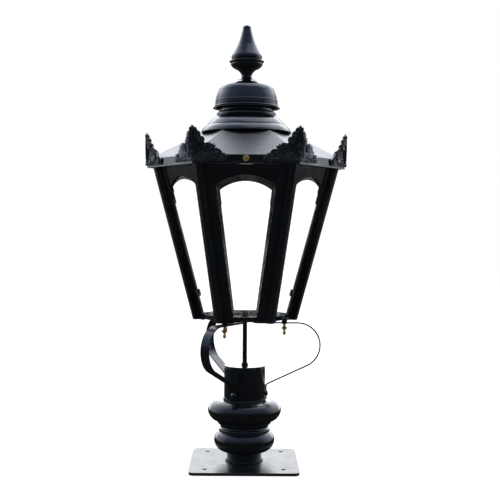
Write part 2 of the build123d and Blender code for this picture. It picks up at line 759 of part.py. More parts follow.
def finial():
    """Turned finial: foot, cup, sharp disc and a long taper to a rounded tip."""
    z = dome_top + spun_t / 2
    top = z + finial_h
    body = turned(
        Polyline((0, z), (22.9, z), (22.9, z + 0.8)),
        ThreePointArc((22.9, z + 0.8), (15, z + 4.4), (10.9, z + 11.1)),
        ThreePointArc((10.9, z + 11.1), (14.3, z + 18.2), (24, z + 25.5)),
        ThreePointArc((24, z + 25.5), (30.8, z + 30), (34.6, z + 35)),
        Polyline((34.6, z + 35), (34.5, z + 38.2), (37.6, z + 41.2), (37.6, z + 42.2), (32, z + 45.4)),
        ThreePointArc((32, z + 45.4), (33, z + 50), (31.4, z + 56.6)),
        ThreePointArc((31.4, z + 56.6), (25.1, z + 67.4), (19.4, z + 78.3)),
        ThreePointArc((19.4, z + 78.3), (13.9, z + 93.4), (9.5, z + 109.5)),
        Line((9.5, z + 109.5), (8.3, top - 3.9)),
        crown(8.3, top - 3.9, top),
        Line((0, top), (0, z)),
    )
    return body - cylinder(tie_d / 2 + 0.1, z - 1, z + 22)


def tie_stud():
    """Stud from the lamp bridge to the finial, with the nuts that clamp bridge and dome."""
    stud = cylinder(tie_d / 2, bridge_z - 8, dome_top + spun_t / 2 + 18)
    below = Pos(0, 0, dome_top - spun_t / 2 - 6.5) * nut(13, 6.5, tie_d * 0.9)
    on_bridge = Pos(0, 0, bridge_z + bridge_t) * nut(13, 6.5, tie_d * 0.9)
    return stud + below + on_bridge


def lamp_bridge():
    """Flat bar across the chimney with turned-down ends bolted to its wall."""
    half = neck_outer_r - spun_t - fit
    round_bar = cylinder(half, bridge_z, bridge_z + bridge_t) & (
        Pos(0, 0, bridge_z) * Box(2 * half, bridge_w, 40))
    lugs = tube(half, half - bridge_t, bridge_z - 14, bridge_z + bridge_t) & (
        Pos(0, 0, bridge_z) * Box(2 * half, bridge_w, 60))
    hole = cylinder(tie_d / 2 + 0.1, bridge_z - 5, bridge_z + 10)
    screw_holes = around(radial(Cylinder(2.2, 40), bridge_z - bridge_screw_drop, half), 2)
    return round_bar + lugs - hole - screw_holes


def bridge_screws():
    seat = neck_outer_r + fit / 3
    screw = Pos(0, 0, seat) * upright_cone(3.6, 2.6, 2.2)
    screw += Pos(0, 0, seat - 9) * extrude(Circle(2), 9)
    return around(radial(screw, bridge_z - bridge_screw_drop), 2)


def lampholder():
    """Ceramic screw lampholder hung under the bridge, open at the bottom."""
    top = bridge_z
    body = turned(
        Line((0, top), (14, top)),
        ThreePointArc((14, top), (17.6, top - 4), (19, top - 12)),
        Polyline((19, top - 12), (19, top - 24), (20.5, top - 25), (20.5, top - 29), (19, top - 30),
                 (19, top - holder_h), (15, top - holder_h), (15, top - 20), (0, top - 20), (0, top)),
    )
    return body - cylinder(tie_d / 2 + 0.1, top - 9, top + 1)


def lamp():
    """Screw-base lamp: cap, neck and globe."""
    top = bridge_z - 21
    r = lamp_d / 2
    low = top - lamp_h
    return turned(
        Polyline((0, low), (0, top), (5, top), (13, top - 3), (13, top - 26), (14.5, top - 27), (15.2, top - 32)),
        ThreePointArc((15.2, top - 32), (20.5, top - 46), (r, low + r)),
        crown(r, low + r, low),
    )


# Corner ears

def ear_wing_face(side):
    """One wing of the leaf: a body that falls away outward, with round lobes along its edge."""
    # Lobes and the body's edge, in shares of the wing's width and height
    lobes = ((0.041, 0.859, 7.0), (0.130, 0.754, 7.0), (0.238, 0.599, 7.2), (0.419, 0.380, 10.2),
             (0.676, 0.218, 9.4), (0.885, 0.093, 7.6))
    edge = ((0.94, 0), (0.905, 0.113), (0.689, 0.239), (0.446, 0.408), (0.257, 0.592), (0.122, 0.789), (0.02, 1))
    outline = make_face(Polyline(
        (0, 0), *[(x * ear_wing, y * ear_h) for x, y in edge], (0, ear_h), (0, 0)))
    quarter = Pos(ear_wing / 2, ear_h / 2) * Rectangle(ear_wing, ear_h)
    for x, y, r in lobes:
        outline += Pos(x * ear_wing, y * ear_h) * Circle(r) & quarter
    return outline if side > 0 else mirror(outline, Plane.YZ)


def ear_screw_spots():
    """Places on the fascia where the ears are screwed, two on each side."""
    skin = fascia_apothem + lip_proud
    away = skin * tan(radians(30)) - ear_wing * 0.62
    level = fascia_z + ear_foot + 5
    return [Rot(0, 0, 30 + i * 60) * Pos(skin, side * away, level) * Rot(0, 90, 0)
            for i in range(SIDES) for side in (-1, 1)]


def ear_screw_holes(r):
    return [spot * Cylinder(r, 30) for spot in ear_screw_spots()]


def corner_ear():
    """Cast leaf folded over a corner of the fascia; both wings meet in a mitre."""
    skin = fascia_apothem + lip_proud
    half_side = skin * tan(radians(30))
    foot = fascia_z + ear_foot
    ear = Pos(skin / COS30, 0, foot) * extrude(ear_nose(), ear_h)
    for side in (-1, 1):
        plane = Plane(origin=(skin, -side * half_side, foot), x_dir=(0, 1, 0), z_dir=(1, 0, 0))
        ear += Rot(0, 0, side * 30) * extrude(plane * ear_wing_face(side), ear_t)
    return ear - ear_screw_holes(ear_screw_d / 2 + 0.2)


def ear_nose():
    """Kite that closes the corner between the two wings, seen from above."""
    reach = ear_t / COS30
    return make_face(Polyline((0, 0), (ear_t * COS30, ear_t / 2), (reach, 0), (ear_t * COS30, -ear_t / 2), (0, 0)))


def ear_screws():
    screw = Pos(0, 0, ear_t) * upright_cone(3.5, 2.4, 1.8)
    screw += Pos(0, 0, -fascia_t) * extrude(Circle(ear_screw_d / 2 - 0.3), ear_t + fascia_t)
    return [spot * screw for spot in ear_screw_spots()]


# Thumbscrew

def thumbscrew():
    """Brass disc screw through the fascia, with a retaining washer behind it."""
    r = thumb_d / 2
    face = fascia_apothem + fit / 3
    head = turned(
        Polyline((0, face), (r - 1, face), (r - 1, face + 1), (r, face + 1.4), (r, face + thumb_t - 0.6),
                 (r - 0.6, face + thumb_t), (1.8, face + thumb_t), (0, face + thumb_t - 1.2), (0, face)),
    )
    tail = ring_outer - leaf_t - clamp_nut_t - 3
    shank = cylinder(thumb_shank_d / 2, tail, face)
    inside = fascia_apothem - fascia_t - fit / 3
    keeper = cylinder(thumb_shank_d / 2 + 1.6, inside - keeper_t, inside)
    return Pos(0, 0, thumb_z) * Rot(90, 0, 0) * (head + shank + keeper)


def clamp_nut():
    """Block nut that draws up behind the latch tab."""
    block = extrude(Rectangle(clamp_nut_w, clamp_nut_h) - Circle(thumb_shank_d / 2 + running), clamp_nut_t)
    return Pos(0, -ring_outer + leaf_t + fit / 3 + clamp_nut_t, thumb_z) * Rot(90, 0, 0) * block


def as_shape(piece):
    return Compound(children=[Compound(item.solids()) for item in piece]) if isinstance(piece, list) else piece


def write(name, piece):
    export_step(as_shape(piece), f"parts/{name}.step")


def main():
    os.makedirs("parts", exist_ok=True)
    single = {
        "base_plate": base_plate, "base_tube": base_tube, "pedestal_casting": pedestal_casting,
        "pedestal_screws": pedestal_screws, "socket_seat_ring": socket_seat_ring,
        "socket_sleeve": socket_sleeve, "socket_cap": socket_cap, "arm_bolts": arm_bolts,
        "drop_knobs": drop_knobs, "arm_spacers": arm_spacers, "stud_nuts": stud_nuts,
        "centre_conduit": centre_conduit, "conduit_nuts": conduit_nuts, "cable_gland": cable_gland,
        "floor_tray": floor_tray, "pane_clips": pane_clips, "clip_screws": clip_screws,
        "top_ring": top_ring, "lid_seal": lid_seal, "latch_tab": latch_tab,
        "hinge_leaf_body": hinge_leaf_body, "hinge_leaf_lid": hinge_leaf_lid, "hinge_pin": hinge_pin,
        "fascia": fascia, "roof_shell": roof_shell, "roof_collar": roof_collar,
        "chimney_neck": chimney_neck, "dome": dome, "finial": finial, "tie_stud": tie_stud,
        "lamp_bridge": lamp_bridge, "bridge_screws": bridge_screws, "lampholder": lampholder,
        "lamp": lamp, "ear_screws": ear_screws, "thumbscrew": thumbscrew, "clamp_nut": clamp_nut,
    }
    for name, make in single.items():
        write(name, make())
    for i, arm in enumerate(around(frog_arm(), ARMS), 1):
        write(f"frog_arm_{i}", arm)
    for i, post in enumerate(around(corner_post(), SIDES), 1):
        write(f"corner_post_{i}", post)
    write("head_plates", around(head_plate(), SIDES, 30))
    for i, pane in enumerate(around(glass_pane(), SIDES, 30), 1):
        write(f"glass_pane_{i}", pane)
    for i, ear in enumerate(around(corner_ear(), SIDES), 1):
        write(f"corner_ear_{i}", ear)


main()
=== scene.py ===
import math
import random

import bmesh
import bpy
from mathutils import Matrix, Vector


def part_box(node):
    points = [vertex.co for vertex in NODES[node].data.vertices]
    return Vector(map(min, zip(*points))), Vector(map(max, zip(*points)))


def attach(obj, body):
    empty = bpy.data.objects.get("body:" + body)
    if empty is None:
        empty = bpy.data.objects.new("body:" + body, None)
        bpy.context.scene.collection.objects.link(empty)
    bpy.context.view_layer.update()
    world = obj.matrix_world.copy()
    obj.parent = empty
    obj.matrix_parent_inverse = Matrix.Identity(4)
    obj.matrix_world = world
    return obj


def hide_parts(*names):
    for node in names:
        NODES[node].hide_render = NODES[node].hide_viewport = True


# The looks of a post top lantern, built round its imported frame. Metres, +Z up, -Y is the front.

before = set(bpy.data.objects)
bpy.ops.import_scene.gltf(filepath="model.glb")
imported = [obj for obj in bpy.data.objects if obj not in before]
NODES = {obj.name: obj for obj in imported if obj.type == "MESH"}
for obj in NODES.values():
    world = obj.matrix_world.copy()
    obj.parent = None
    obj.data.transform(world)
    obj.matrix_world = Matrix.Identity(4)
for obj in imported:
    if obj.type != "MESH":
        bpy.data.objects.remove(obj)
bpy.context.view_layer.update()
MM = 0.001
SIDES = 6
ARMS = 3


def low(node):
    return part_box(node)[0]


def high(node):
    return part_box(node)[1]


def outward(degrees):
    """The level direction that points away from the axis at this angle from +X."""
    way = math.radians(degrees)
    return Vector((math.cos(way), math.sin(way), 0))


def sideways(degrees):
    """The level direction at right angles to outward, anticlockwise from above."""
    way = math.radians(degrees)
    return Vector((-math.sin(way), math.cos(way), 0))


def fascia_apothem():
    """From the axis to the middle of a flat side of the lid's fascia."""
    return high("fascia").x * math.cos(math.pi / SIDES)


# ---------------------------------------------------------------- mesh helpers


def new_piece(name, mesh):
    piece = bpy.data.objects.new(name, mesh)
    bpy.context.scene.collection.objects.link(piece)
    return piece


def mesh_from(name, bm):
    mesh = bpy.data.meshes.new(name)
    bm.to_mesh(mesh)
    bm.free()
    return mesh


def finish_mesh(mesh, smooth_angle=35.0):
    """Closed, outward facing and smooth up to an angle."""
    bm = bmesh.new()
    bm.from_mesh(mesh)
    bmesh.ops.remove_doubles(bm, verts=bm.verts, dist=2e-6)
    bmesh.ops.recalc_face_normals(bm, faces=bm.faces)
    bm.to_mesh(mesh)
    bm.free()
    mesh.shade_smooth()
    mesh.set_sharp_from_angle(angle=math.radians(smooth_angle))
    return mesh


def soften(piece, width, angle):
    """Rounds the piece's hard edges for good, as paint and tooling leave them."""
    bevel = piece.modifiers.new("edge_round", "BEVEL")
    bevel.width = width
    bevel.segments = 2
    bevel.limit_method = "ANGLE"
    bevel.angle_limit = math.radians(angle)
    even = piece.modifiers.new("even_shading", "WEIGHTED_NORMAL")
    even.weight = 100
    even.keep_sharp = True
    bake_modifiers(piece)
    return piece


def bake_modifiers(piece):
    graph = bpy.context.evaluated_depsgraph_get()
    mesh = bpy.data.meshes.new_from_object(piece.evaluated_get(graph))
    old = piece.data
    piece.modifiers.clear()
    piece.data = mesh
    mesh.name = piece.name
    if old.users == 0:
        bpy.data.meshes.remove(old)
    return piece


def arc(start, middle, end, steps):
    """Points after start on the circle through three points of an outline."""
    (ax, ay), (bx, by), (cx, cy) = start, middle, end
    d = 2 * (ax * (by - cy) + bx * (cy - ay) + cx * (ay - by))
    a2, b2, c2 = ax * ax + ay * ay, bx * bx + by * by, cx * cx + cy * cy
    ux = (a2 * (by - cy) + b2 * (cy - ay) + c2 * (ay - by)) / d
    uy = (a2 * (cx - bx) + b2 * (ax - cx) + c2 * (bx - ax)) / d
    r = math.hypot(ax - ux, ay - uy)
    a0 = math.atan2(ay - uy, ax - ux)
    turn_mid = (math.atan2(by - uy, bx - ux) - a0) % math.tau
    turn_end = (math.atan2(cy - uy, cx - ux) - a0) % math.tau
    if turn_mid > turn_end:
        turn_end -= math.tau
    return [(ux + r * math.cos(a0 + turn_end * i / steps), uy + r * math.sin(a0 + turn_end * i / steps))
            for i in range(1, steps + 1)]


def outline(start, *moves, steps=10):
    """An outline in millimetres: a move is a point, or the middle and end of an arc."""
    points = [start]
    for move in moves:
        if isinstance(move[0], tuple):
            points += arc(points[-1], move[0], move[1], steps)
        else:
            points.append(move)
    return points


def offset_line(points, distance):
    """The open outline moved sideways, to the right of its direction."""
    moved = []
    for i, (x, y) in enumerate(points):
        before = points[max(i - 1, 0)]
        after = points[min(i + 1, len(points) - 1)]
        dx, dy = after[0] - before[0], after[1] - before[1]
        length = math.hypot(dx, dy) or 1.0
        moved.append((x + dy / length * distance, y - dx / length * distance))
    return moved


def lathe(name, points, base_z, segments=128, edge=0.35, smooth_angle=35.0, centre=(0.0, 0.0)):
    """Turns a closed outline (radius, height in millimetres above base_z) about an upright axis."""
    bm = bmesh.new()
    rings = []
    for r, z in points:
        height = base_z + z * MM
        if r < 1e-6:
            rings.append([bm.verts.new((centre[0], centre[1], height))])
            continue
        rings.append([bm.verts.new((centre[0] + r * MM * math.cos(math.tau * k / segments),
                                    centre[1] + r * MM * math.sin(math.tau * k / segments), height))
                      for k in range(segments)])
    for i, ring in enumerate(rings):
        after = rings[(i + 1) % len(rings)]
        if len(ring) == 1 and len(after) == 1:
            continue
        for k in range(segments):
            corners = [ring[k % len(ring)], ring[(k + 1) % len(ring)],
                       after[(k + 1) % len(after)], after[k % len(after)]]
            kept = [v for j, v in enumerate(corners) if v not in corners[:j]]
            if len(kept) > 2:
                bm.faces.new(kept)
    piece = new_piece(name, finish_mesh(mesh_from(name, bm), smooth_angle))
    if edge:
        soften(piece, edge * MM, smooth_angle)
    return piece


def dressed(node, edge, smooth_angle=32.0):
    """A copy of a CAD node's shape with its facets joined and its hard edges rounded."""
    mesh = NODES[node].data.copy()
    bm = bmesh.new()
    bm.from_mesh(mesh)
    bmesh.ops.remove_doubles(bm, verts=bm.verts, dist=5e-6)
    bmesh.ops.dissolve_limit(bm, angle_limit=math.radians(0.4), verts=bm.verts, edges=bm.edges)
    bm.to_mesh(mesh)
    bm.free()
    mesh.materials.clear()
    piece = new_piece(f"{node}_shape", finish_mesh(mesh, smooth_angle))
    soften(piece, edge * MM, smooth_angle)
    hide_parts(node)
    return piece


def give(piece, material, body):
    """Material and body of a finished piece."""
    piece.data.materials.clear()
    piece.data.materials.append(material)
    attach(piece, body)
    return piece


# ---------------------------------------------------------------- materials


def new_nodes(tree, *kinds):
    return [tree.nodes.new(kind) for kind in kinds]


def fresh(name):
    material = bpy.data.materials.new(name)
    material.use_nodes = True
    shader = material.node_tree.nodes["Principled BSDF"]
    return material, material.node_tree, shader


def place(tree, scale=(1.0, 1.0, 1.0)):
    """Object coordinates, stretched along the axes."""
    coord = tree.nodes.new("ShaderNodeTexCoord")
    mapping = tree.nodes.new("ShaderNodeMapping")
    mapping.inputs["Scale"].default_value = scale
    tree.links.new(coord.outputs["Object"], mapping.inputs["Vector"])
    return mapping.outputs["Vector"]


def noise(tree, vector, scale, detail=3.0, roughness=0.55):
    node = tree.nodes.new("ShaderNodeTexNoise")
    node.inputs["Scale"].default_value = scale
    node.inputs["Detail"].default_value = detail
    node.inputs["Roughness"].default_value = roughness
    tree.links.new(vector, node.inputs["Vector"])
    return node.outputs["Fac"]


def ramp(tree, value, *stops):
    node = tree.nodes.new("ShaderNodeValToRGB")
    while len(node.color_ramp.elements) < len(stops):
        node.color_ramp.elements.new(0.5)
    for element, (position, colour) in zip(node.color_ramp.elements, stops):
        element.position = position
        element.color = (*colour, 1.0)
    tree.links.new(value, node.inputs["Fac"])
    return node.outputs["Color"]


def spread(tree, value, low_in, high_in, low_out, high_out):
    node = tree.nodes.new("ShaderNodeMapRange")
    ends = {"From Min": low_in, "From Max": high_in, "To Min": low_out, "To Max": high_out}
    for socket, number in ends.items():
        node.inputs[socket].default_value = number
    tree.links.new(value, node.inputs["Value"])
    return node.outputs["Result"]


def reckoned(tree, operation, a, b):
    """Two values or numbers joined by one sum."""
    node = tree.nodes.new("ShaderNodeMath")
    node.operation = operation
    for socket, value in zip(node.inputs, (a, b)):
        if isinstance(value, float):
            socket.default_value = value
        else:
            tree.links.new(value, socket)
    return node.outputs[0]


def mixed(tree, factor, a, b):
    node = tree.nodes.new("ShaderNodeMix")
    node.data_type = "RGBA"
    tree.links.new(factor, node.inputs["Factor"])
    for socket, value in ((node.inputs[6], a), (node.inputs[7], b)):
        if isinstance(value, tuple):
            socket.default_value = (*value, 1.0)
        else:
            tree.links.new(value, socket)
    return node.outputs[2]


def bumps(tree, shader, *layers):
    """Height layers (value, distance in metres, strength) stacked onto the shader's normal."""
    normal = None
    for value, distance, strength in layers:
        node = tree.nodes.new("ShaderNodeBump")
        node.inputs["Distance"].default_value = distance
        node.inputs["Strength"].default_value = strength
        tree.links.new(value, node.inputs["Height"])
        if normal is not None:
            tree.links.new(normal, node.inputs["Normal"])
        normal = node.outputs["Normal"]
    tree.links.new(normal, shader.inputs["Normal"])


def edge_wear_and_highlight(tree):
    """Rises on convex edges, where handling thins the paint; on the carved paint it also places a painted
    highlight along the ridges.
    """
    geometry = tree.nodes.new("ShaderNodeNewGeometry")
    return spread(tree, geometry.outputs["Pointiness"], 0.53, 0.66, 0.0, 1.0)


PAINT_DARK = (0.0018, 0.0030, 0.0046)
PAINT_LIGHT = (0.0034, 0.0050, 0.0074)
PAINT_EDGE = (0.0075, 0.0100, 0.0130)
DUST = (0.060, 0.062, 0.060)
MOST_DUST = 0.07
UNDERSIDE_DULLING = 0.55
# the normal's rise where dust or dulling begins, and where it is full
TOP_FACES = (0.55, 1.0)
UNDERSIDES = (-0.3, -0.6)


def inward(tree):
    """Rises on faces that look towards the lantern's axis."""
    coord, flat, facing, geometry = new_nodes(
        tree, "ShaderNodeTexCoord", "ShaderNodeVectorMath", "ShaderNodeVectorMath", "ShaderNodeNewGeometry")
    flat.operation = "MULTIPLY"
    flat.inputs[1].default_value = (1.0, 1.0, 0.0)
    facing.operation = "DOT_PRODUCT"
    tree.links.new(coord.outputs["Object"], flat.inputs[0])
    tree.links.new(flat.outputs[0], facing.inputs[0])
    tree.links.new(geometry.outputs["Normal"], facing.inputs[1])
    return spread(tree, facing.outputs["Value"], -0.05, -0.09, 0.0, 1.0)


def painted(name, grain, grain_depth, roughness, coat, edge=PAINT_EDGE, dust_and_reflection=None, coat_roughness=0.12):
    """Blue-black outdoor paint: orange peel, faint mottling, thin edges (on the carved paint also a painted
    highlight), dusty tops and dull undersides.

    The inward colour is dust and a painted reflection, both put on faces that look inward."""
    material, tree, shader = fresh(name)
    where = place(tree)
    mottle = noise(tree, where, 26.0, 4.0)
    colour = ramp(tree, mottle, (0.35, PAINT_DARK), (0.70, PAINT_LIGHT))
    # lighter colour on convex edges: worn paint, and on the carved paint a painted highlight along the ridges
    colour = mixed(tree, edge_wear_and_highlight(tree), colour, edge)
    # faces that look towards the axis get a lighter, brownish colour: dust, and a painted reflection of the
    # bright surroundings
    if dust_and_reflection:
        colour = mixed(tree, inward(tree), colour, ramp(tree, mottle, (0.42, PAINT_EDGE), (0.6, dust_and_reflection)))
    geometry, split = new_nodes(tree, "ShaderNodeNewGeometry", "ShaderNodeSeparateXYZ")
    tree.links.new(geometry.outputs["Normal"], split.inputs["Vector"])
    lift = split.outputs["Z"]
    up = spread(tree, lift, *TOP_FACES, 0.0, MOST_DUST)
    speck = spread(tree, noise(tree, where, 190.0, 5.0, 0.7), 0.48, 0.72, 0.0, 1.0)
    colour = mixed(tree, reckoned(tree, "MULTIPLY", up, speck), colour, DUST)
    tree.links.new(colour, shader.inputs["Base Color"])
    under = spread(tree, lift, *UNDERSIDES, 0.0, UNDERSIDE_DULLING)
    patchy = spread(tree, noise(tree, where, 60.0, 3.0), 0.3, 0.7, roughness - 0.05, roughness + 0.07)
    tree.links.new(reckoned(tree, "ADD", patchy, under), shader.inputs["Roughness"])
    tree.links.new(spread(tree, lift, *UNDERSIDES, coat, 0.0), shader.inputs["Coat Weight"])
    shader.inputs["Coat Roughness"].default_value = coat_roughness
    shader.inputs["Coat IOR"].default_value = 1.5
    peel = noise(tree, where, 520.0, 2.0)
    cast = noise(tree, where, grain, 4.0, 0.6)
    bumps(tree, shader, (cast, grain_depth, 0.5), (peel, 0.00004, 0.35))
    return material


def metal(name, colour, tarnish, roughness, scratches, spots, bare):
    """Metal with tarnish in patches and fine tooling lines; bare is how little lacquer covers it."""
    material, tree, shader = fresh(name)
    where = place(tree)
    patch = noise(tree, where, spots, 4.0, 0.6)
    tree.links.new(ramp(tree, patch, (0.38, tarnish), (0.62, colour)), shader.inputs["Base Color"])
    shader.inputs["Metallic"].default_value = bare
    tree.links.new(spread(tree, patch, 0.35, 0.65, roughness + 0.16, roughness), shader.inputs["Roughness"])
    lines = noise(tree, place(tree, (1.0, 1.0, 30.0)), scratches, 2.0)
    bumps(tree, shader, (lines, 0.00003, 0.4), (patch, 0.0001, 0.3))
    return material


def clear_glass():
    """Clear pane with a faint green body and thin smears of dirt."""
    material, tree, shader = fresh("clear_glass")
    where = place(tree)
    smear = noise(tree, where, 14.0, 5.0, 0.6)
    tree.links.new(ramp(tree, smear, (0.3, (0.995, 1.0, 0.998)), (0.8, (0.975, 0.985, 0.98))),
                   shader.inputs["Base Color"])
    tree.links.new(spread(tree, smear, 0.66, 0.9, 0.0, 0.012), shader.inputs["Roughness"])
    shader.inputs["Transmission Weight"].default_value = 1.0
    shader.inputs["IOR"].default_value = 1.22
    return material


def opal_glass():
    material, tree, shader = fresh("opal_glass")
    where = place(tree)
    cloud = noise(tree, where, 30.0, 3.0)
    tree.links.new(ramp(tree, cloud, (0.3, (0.90, 0.89, 0.85)), (0.7, (0.95, 0.94, 0.91))),
                   shader.inputs["Base Color"])
    tree.links.new(spread(tree, cloud, 0.3, 0.7, 0.16, 0.24), shader.inputs["Roughness"])
    shader.inputs["Subsurface Weight"].default_value = 0.3
    shader.inputs["Subsurface Radius"].default_value = (0.006, 0.006, 0.005)
    bumps(tree, shader, (noise(tree, where, 160.0, 2.0), 0.00002, 0.3))
    return material


def porcelain():
    material, tree, shader = fresh("porcelain")
    where = place(tree)
    craze = noise(tree, where, 120.0, 4.0)
    tree.links.new(ramp(tree, craze, (0.35, (0.78, 0.75, 0.69)), (0.65, (0.86, 0.84, 0.79))),
                   shader.inputs["Base Color"])
    tree.links.new(spread(tree, craze, 0.3, 0.7, 0.12, 0.2), shader.inputs["Roughness"])
    bumps(tree, shader, (craze, 0.0001, 0.2))
    return material


def soft_black(name, roughness, grain):
    """Rubber or nylon: matt, slightly greyed, with a moulded grain."""
    material, tree, shader = fresh(name)
    where = place(tree)
    bloom = noise(tree, where, 40.0, 4.0)
    tree.links.new(ramp(tree, bloom, (0.35, (0.010, 0.010, 0.011)), (0.7, (0.030, 0.030, 0.030))),
                   shader.inputs["Base Color"])
    tree.links.new(spread(tree, bloom, 0.3, 0.7, roughness, roughness + 0.12), shader.inputs["Roughness"])
    bumps(tree, shader, (noise(tree, where, grain, 3.0), 0.0001, 0.5))
    return material


MAT = {
    "sheet": painted("sheet_paint", grain=90.0, grain_depth=0.00008, roughness=0.18, coat=0.55),
    "cast": painted("cast_paint", grain=240.0, grain_depth=0.00012, roughness=0.22, coat=0.45),
    # the carved paint's lighter edge colour is a painted highlight on the ridges of the carving, over the
    # edge wear
    "carved": painted("carved_paint", grain=330.0, grain_depth=0.0002, roughness=0.26, coat=0.45,
                      edge=(0.045, 0.055, 0.068)),
    "weathered": painted("weathered_paint", grain=60.0, grain_depth=0.00008, roughness=0.34, coat=0.55,
                         coat_roughness=0.30),
    # the chamber paint's inward colour is dust and a painted reflection on the inner faces of the head plates
    # and posts
    "chamber": painted("chamber_paint", grain=90.0, grain_depth=0.00008, roughness=0.18, coat=0.55,
                       dust_and_reflection=(0.034, 0.029, 0.023)),
    "brass": metal("dull_brass", colour=(0.52, 0.37, 0.12), tarnish=(0.24, 0.16, 0.05), roughness=0.28,
                   scratches=320.0, spots=210.0, bare=0.55),
    "zinc": metal("zinc_steel", colour=(0.50, 0.51, 0.53), tarnish=(0.28, 0.29, 0.31), roughness=0.32,
                  scratches=260.0, spots=150.0, bare=1.0),
    "dark_zinc": metal("dark_zinc", colour=(0.17, 0.175, 0.18), tarnish=(0.07, 0.072, 0.076), roughness=0.22,
                       scratches=260.0, spots=150.0, bare=1.0),
    "pane": clear_glass(),
    "opal": opal_glass(),
    "porcelain": porcelain(),
    "rubber": soft_black("seal_rubber", roughness=0.62, grain=300.0),
    "nylon": soft_black("gland_nylon", roughness=0.48, grain=420.0),
}


# ---------------------------------------------------------------- Geometry Nodes


class Tree:
    """A geometry tree with named inputs, and the modifier that runs it on a piece."""

    def __init__(self, name):
        self.group = bpy.data.node_groups.new(name, "GeometryNodeTree")
        self.group.interface.new_socket("Geometry", in_out="INPUT", socket_type="NodeSocketGeometry")
        self.group.interface.new_socket("Geometry", in_out="OUTPUT", socket_type="NodeSocketGeometry")
        self.start = self.group.nodes.new("NodeGroupInput")
        self.stop = self.group.nodes.new("NodeGroupOutput")
        self.values = {}

    def input(self, name, kind, value):
        socket = self.group.interface.new_socket(name, in_out="INPUT", socket_type=f"NodeSocket{kind}")
        self.values[socket.identifier] = value
        return self.start.outputs[name]

    def node(self, kind, links=(), **settings):
        node = self.group.nodes.new(kind)
        for key, value in settings.items():
            setattr(node, key, value)
        for socket, source in links:
            target = node.inputs[socket]
            if isinstance(source, bpy.types.NodeSocket):
                self.group.links.new(source, target)
            else:
                target.default_value = source
        return node

    def math(self, operation, a, b=0.0):
        return self.node("ShaderNodeMath", [(0, a), (1, b)], operation=operation).outputs[0]

    def end(self, geometry, material):
        real = self.node("GeometryNodeRealizeInstances", [(0, geometry)])
        coat = self.node("GeometryNodeSetMaterial", [("Geometry", real.outputs[0]), ("Material", material)])
        self.group.links.new(coat.outputs[0], self.stop.inputs[0])

    def run(self, piece):
        modifier = piece.modifiers.new(self.group.name, "NODES")
        modifier.node_group = self.group
        for identifier, value in self.values.items():
            modifier[identifier] = value
        bake_modifiers(piece)
        return piece


def ring_of(name, source, count, material):
    """Copies of one finished piece turned about the lantern's axis by a geometry tree."""
    tree = Tree(f"{name}_ring")
    number = tree.input("Count", "Int", count)
    start = tree.input("Start angle", "Float", 0.0)
    points = tree.node("GeometryNodePoints", [("Count", number)])
    index = tree.node("GeometryNodeInputIndex")
    share = tree.math("DIVIDE", index.outputs[0], number)
    angle = tree.math("ADD", tree.math("MULTIPLY", share, math.tau), start)
    turn = tree.node("ShaderNodeCombineXYZ", [("Z", angle)])
    placed = tree.node("GeometryNodeInstanceOnPoints", [
        ("Points", points.outputs[0]), ("Instance", tree.start.outputs["Geometry"]),
        ("Rotation", turn.outputs[0])])
    tree.end(placed.outputs[0], material)
    piece = new_piece(name, source.data)
    bpy.data.objects.remove(source)
    tree.run(piece)
    return piece


def scattered(name, spots, source, material):
    """Copies of one small piece on given spots; a spot is a place and the direction it faces."""
    mesh = bpy.data.meshes.new(f"{name}_spots")
    mesh.from_pydata([tuple(spot) for spot, _ in spots], [], [])
    facing = mesh.attributes.new("facing", "FLOAT_VECTOR", "POINT")
    facing.data.foreach_set("vector", [c for _, way in spots for c in way])
    tree = Tree(f"{name}_on_spots")
    size = tree.input("Size", "Float", 1.0)
    pattern = tree.node("GeometryNodeObjectInfo", [("Object", source)])
    way = tree.node("GeometryNodeInputNamedAttribute", [("Name", "facing")], data_type="FLOAT_VECTOR")
    turn = tree.node("FunctionNodeAlignRotationToVector", [("Vector", way.outputs[0])], axis="Z")
    spots_in = tree.start.outputs["Geometry"]
    points = tree.node("GeometryNodeMeshToPoints", [("Mesh", spots_in)])
    placed = tree.node("GeometryNodeInstanceOnPoints", [
        ("Points", points.outputs[0]), ("Instance", pattern.outputs["Geometry"]),
        ("Rotation", turn.outputs[0]), ("Scale", size)])
    tree.end(placed.outputs[0], material)
    piece = new_piece(name, mesh)
    tree.run(piece)
    bpy.data.objects.remove(source)
    return piece


def weld_ripple(name, radius, size, count, height, material):
    """Overlapping ripples of a weld bead round the foot of the tube."""
    tree = Tree(name)
    ring_r = tree.input("Ring radius", "Float", radius)
    bead_r = tree.input("Bead size", "Float", size)
    number = tree.input("Count", "Int", count)
    seed = tree.input("Seed", "Int", 7)
    circle = tree.node("GeometryNodeMeshCircle", [("Vertices", number), ("Radius", ring_r)])
    raised = tree.node("GeometryNodeSetPosition", [
        ("Geometry", circle.outputs[0]), ("Offset", (0, 0, height))])
    blob = tree.node("GeometryNodeMeshUVSphere", [("Segments", 10), ("Rings", 6), ("Radius", bead_r)])
    jitter = tree.node("FunctionNodeRandomValue", [("Seed", seed)], data_type="FLOAT")
    least, most = jitter.inputs[2], jitter.inputs[3]
    least.default_value, most.default_value = 0.86, 1.06
    placed = tree.node("GeometryNodeInstanceOnPoints", [
        ("Points", raised.outputs[0]), ("Instance", blob.outputs[0]), ("Scale", jitter.outputs[1])])
    tree.end(placed.outputs[0], material)
    piece = new_piece(name, bpy.data.meshes.new(name))
    tree.run(piece)
    piece.data.shade_smooth()
    return piece


# ---------------------------------------------------------------- turned pieces


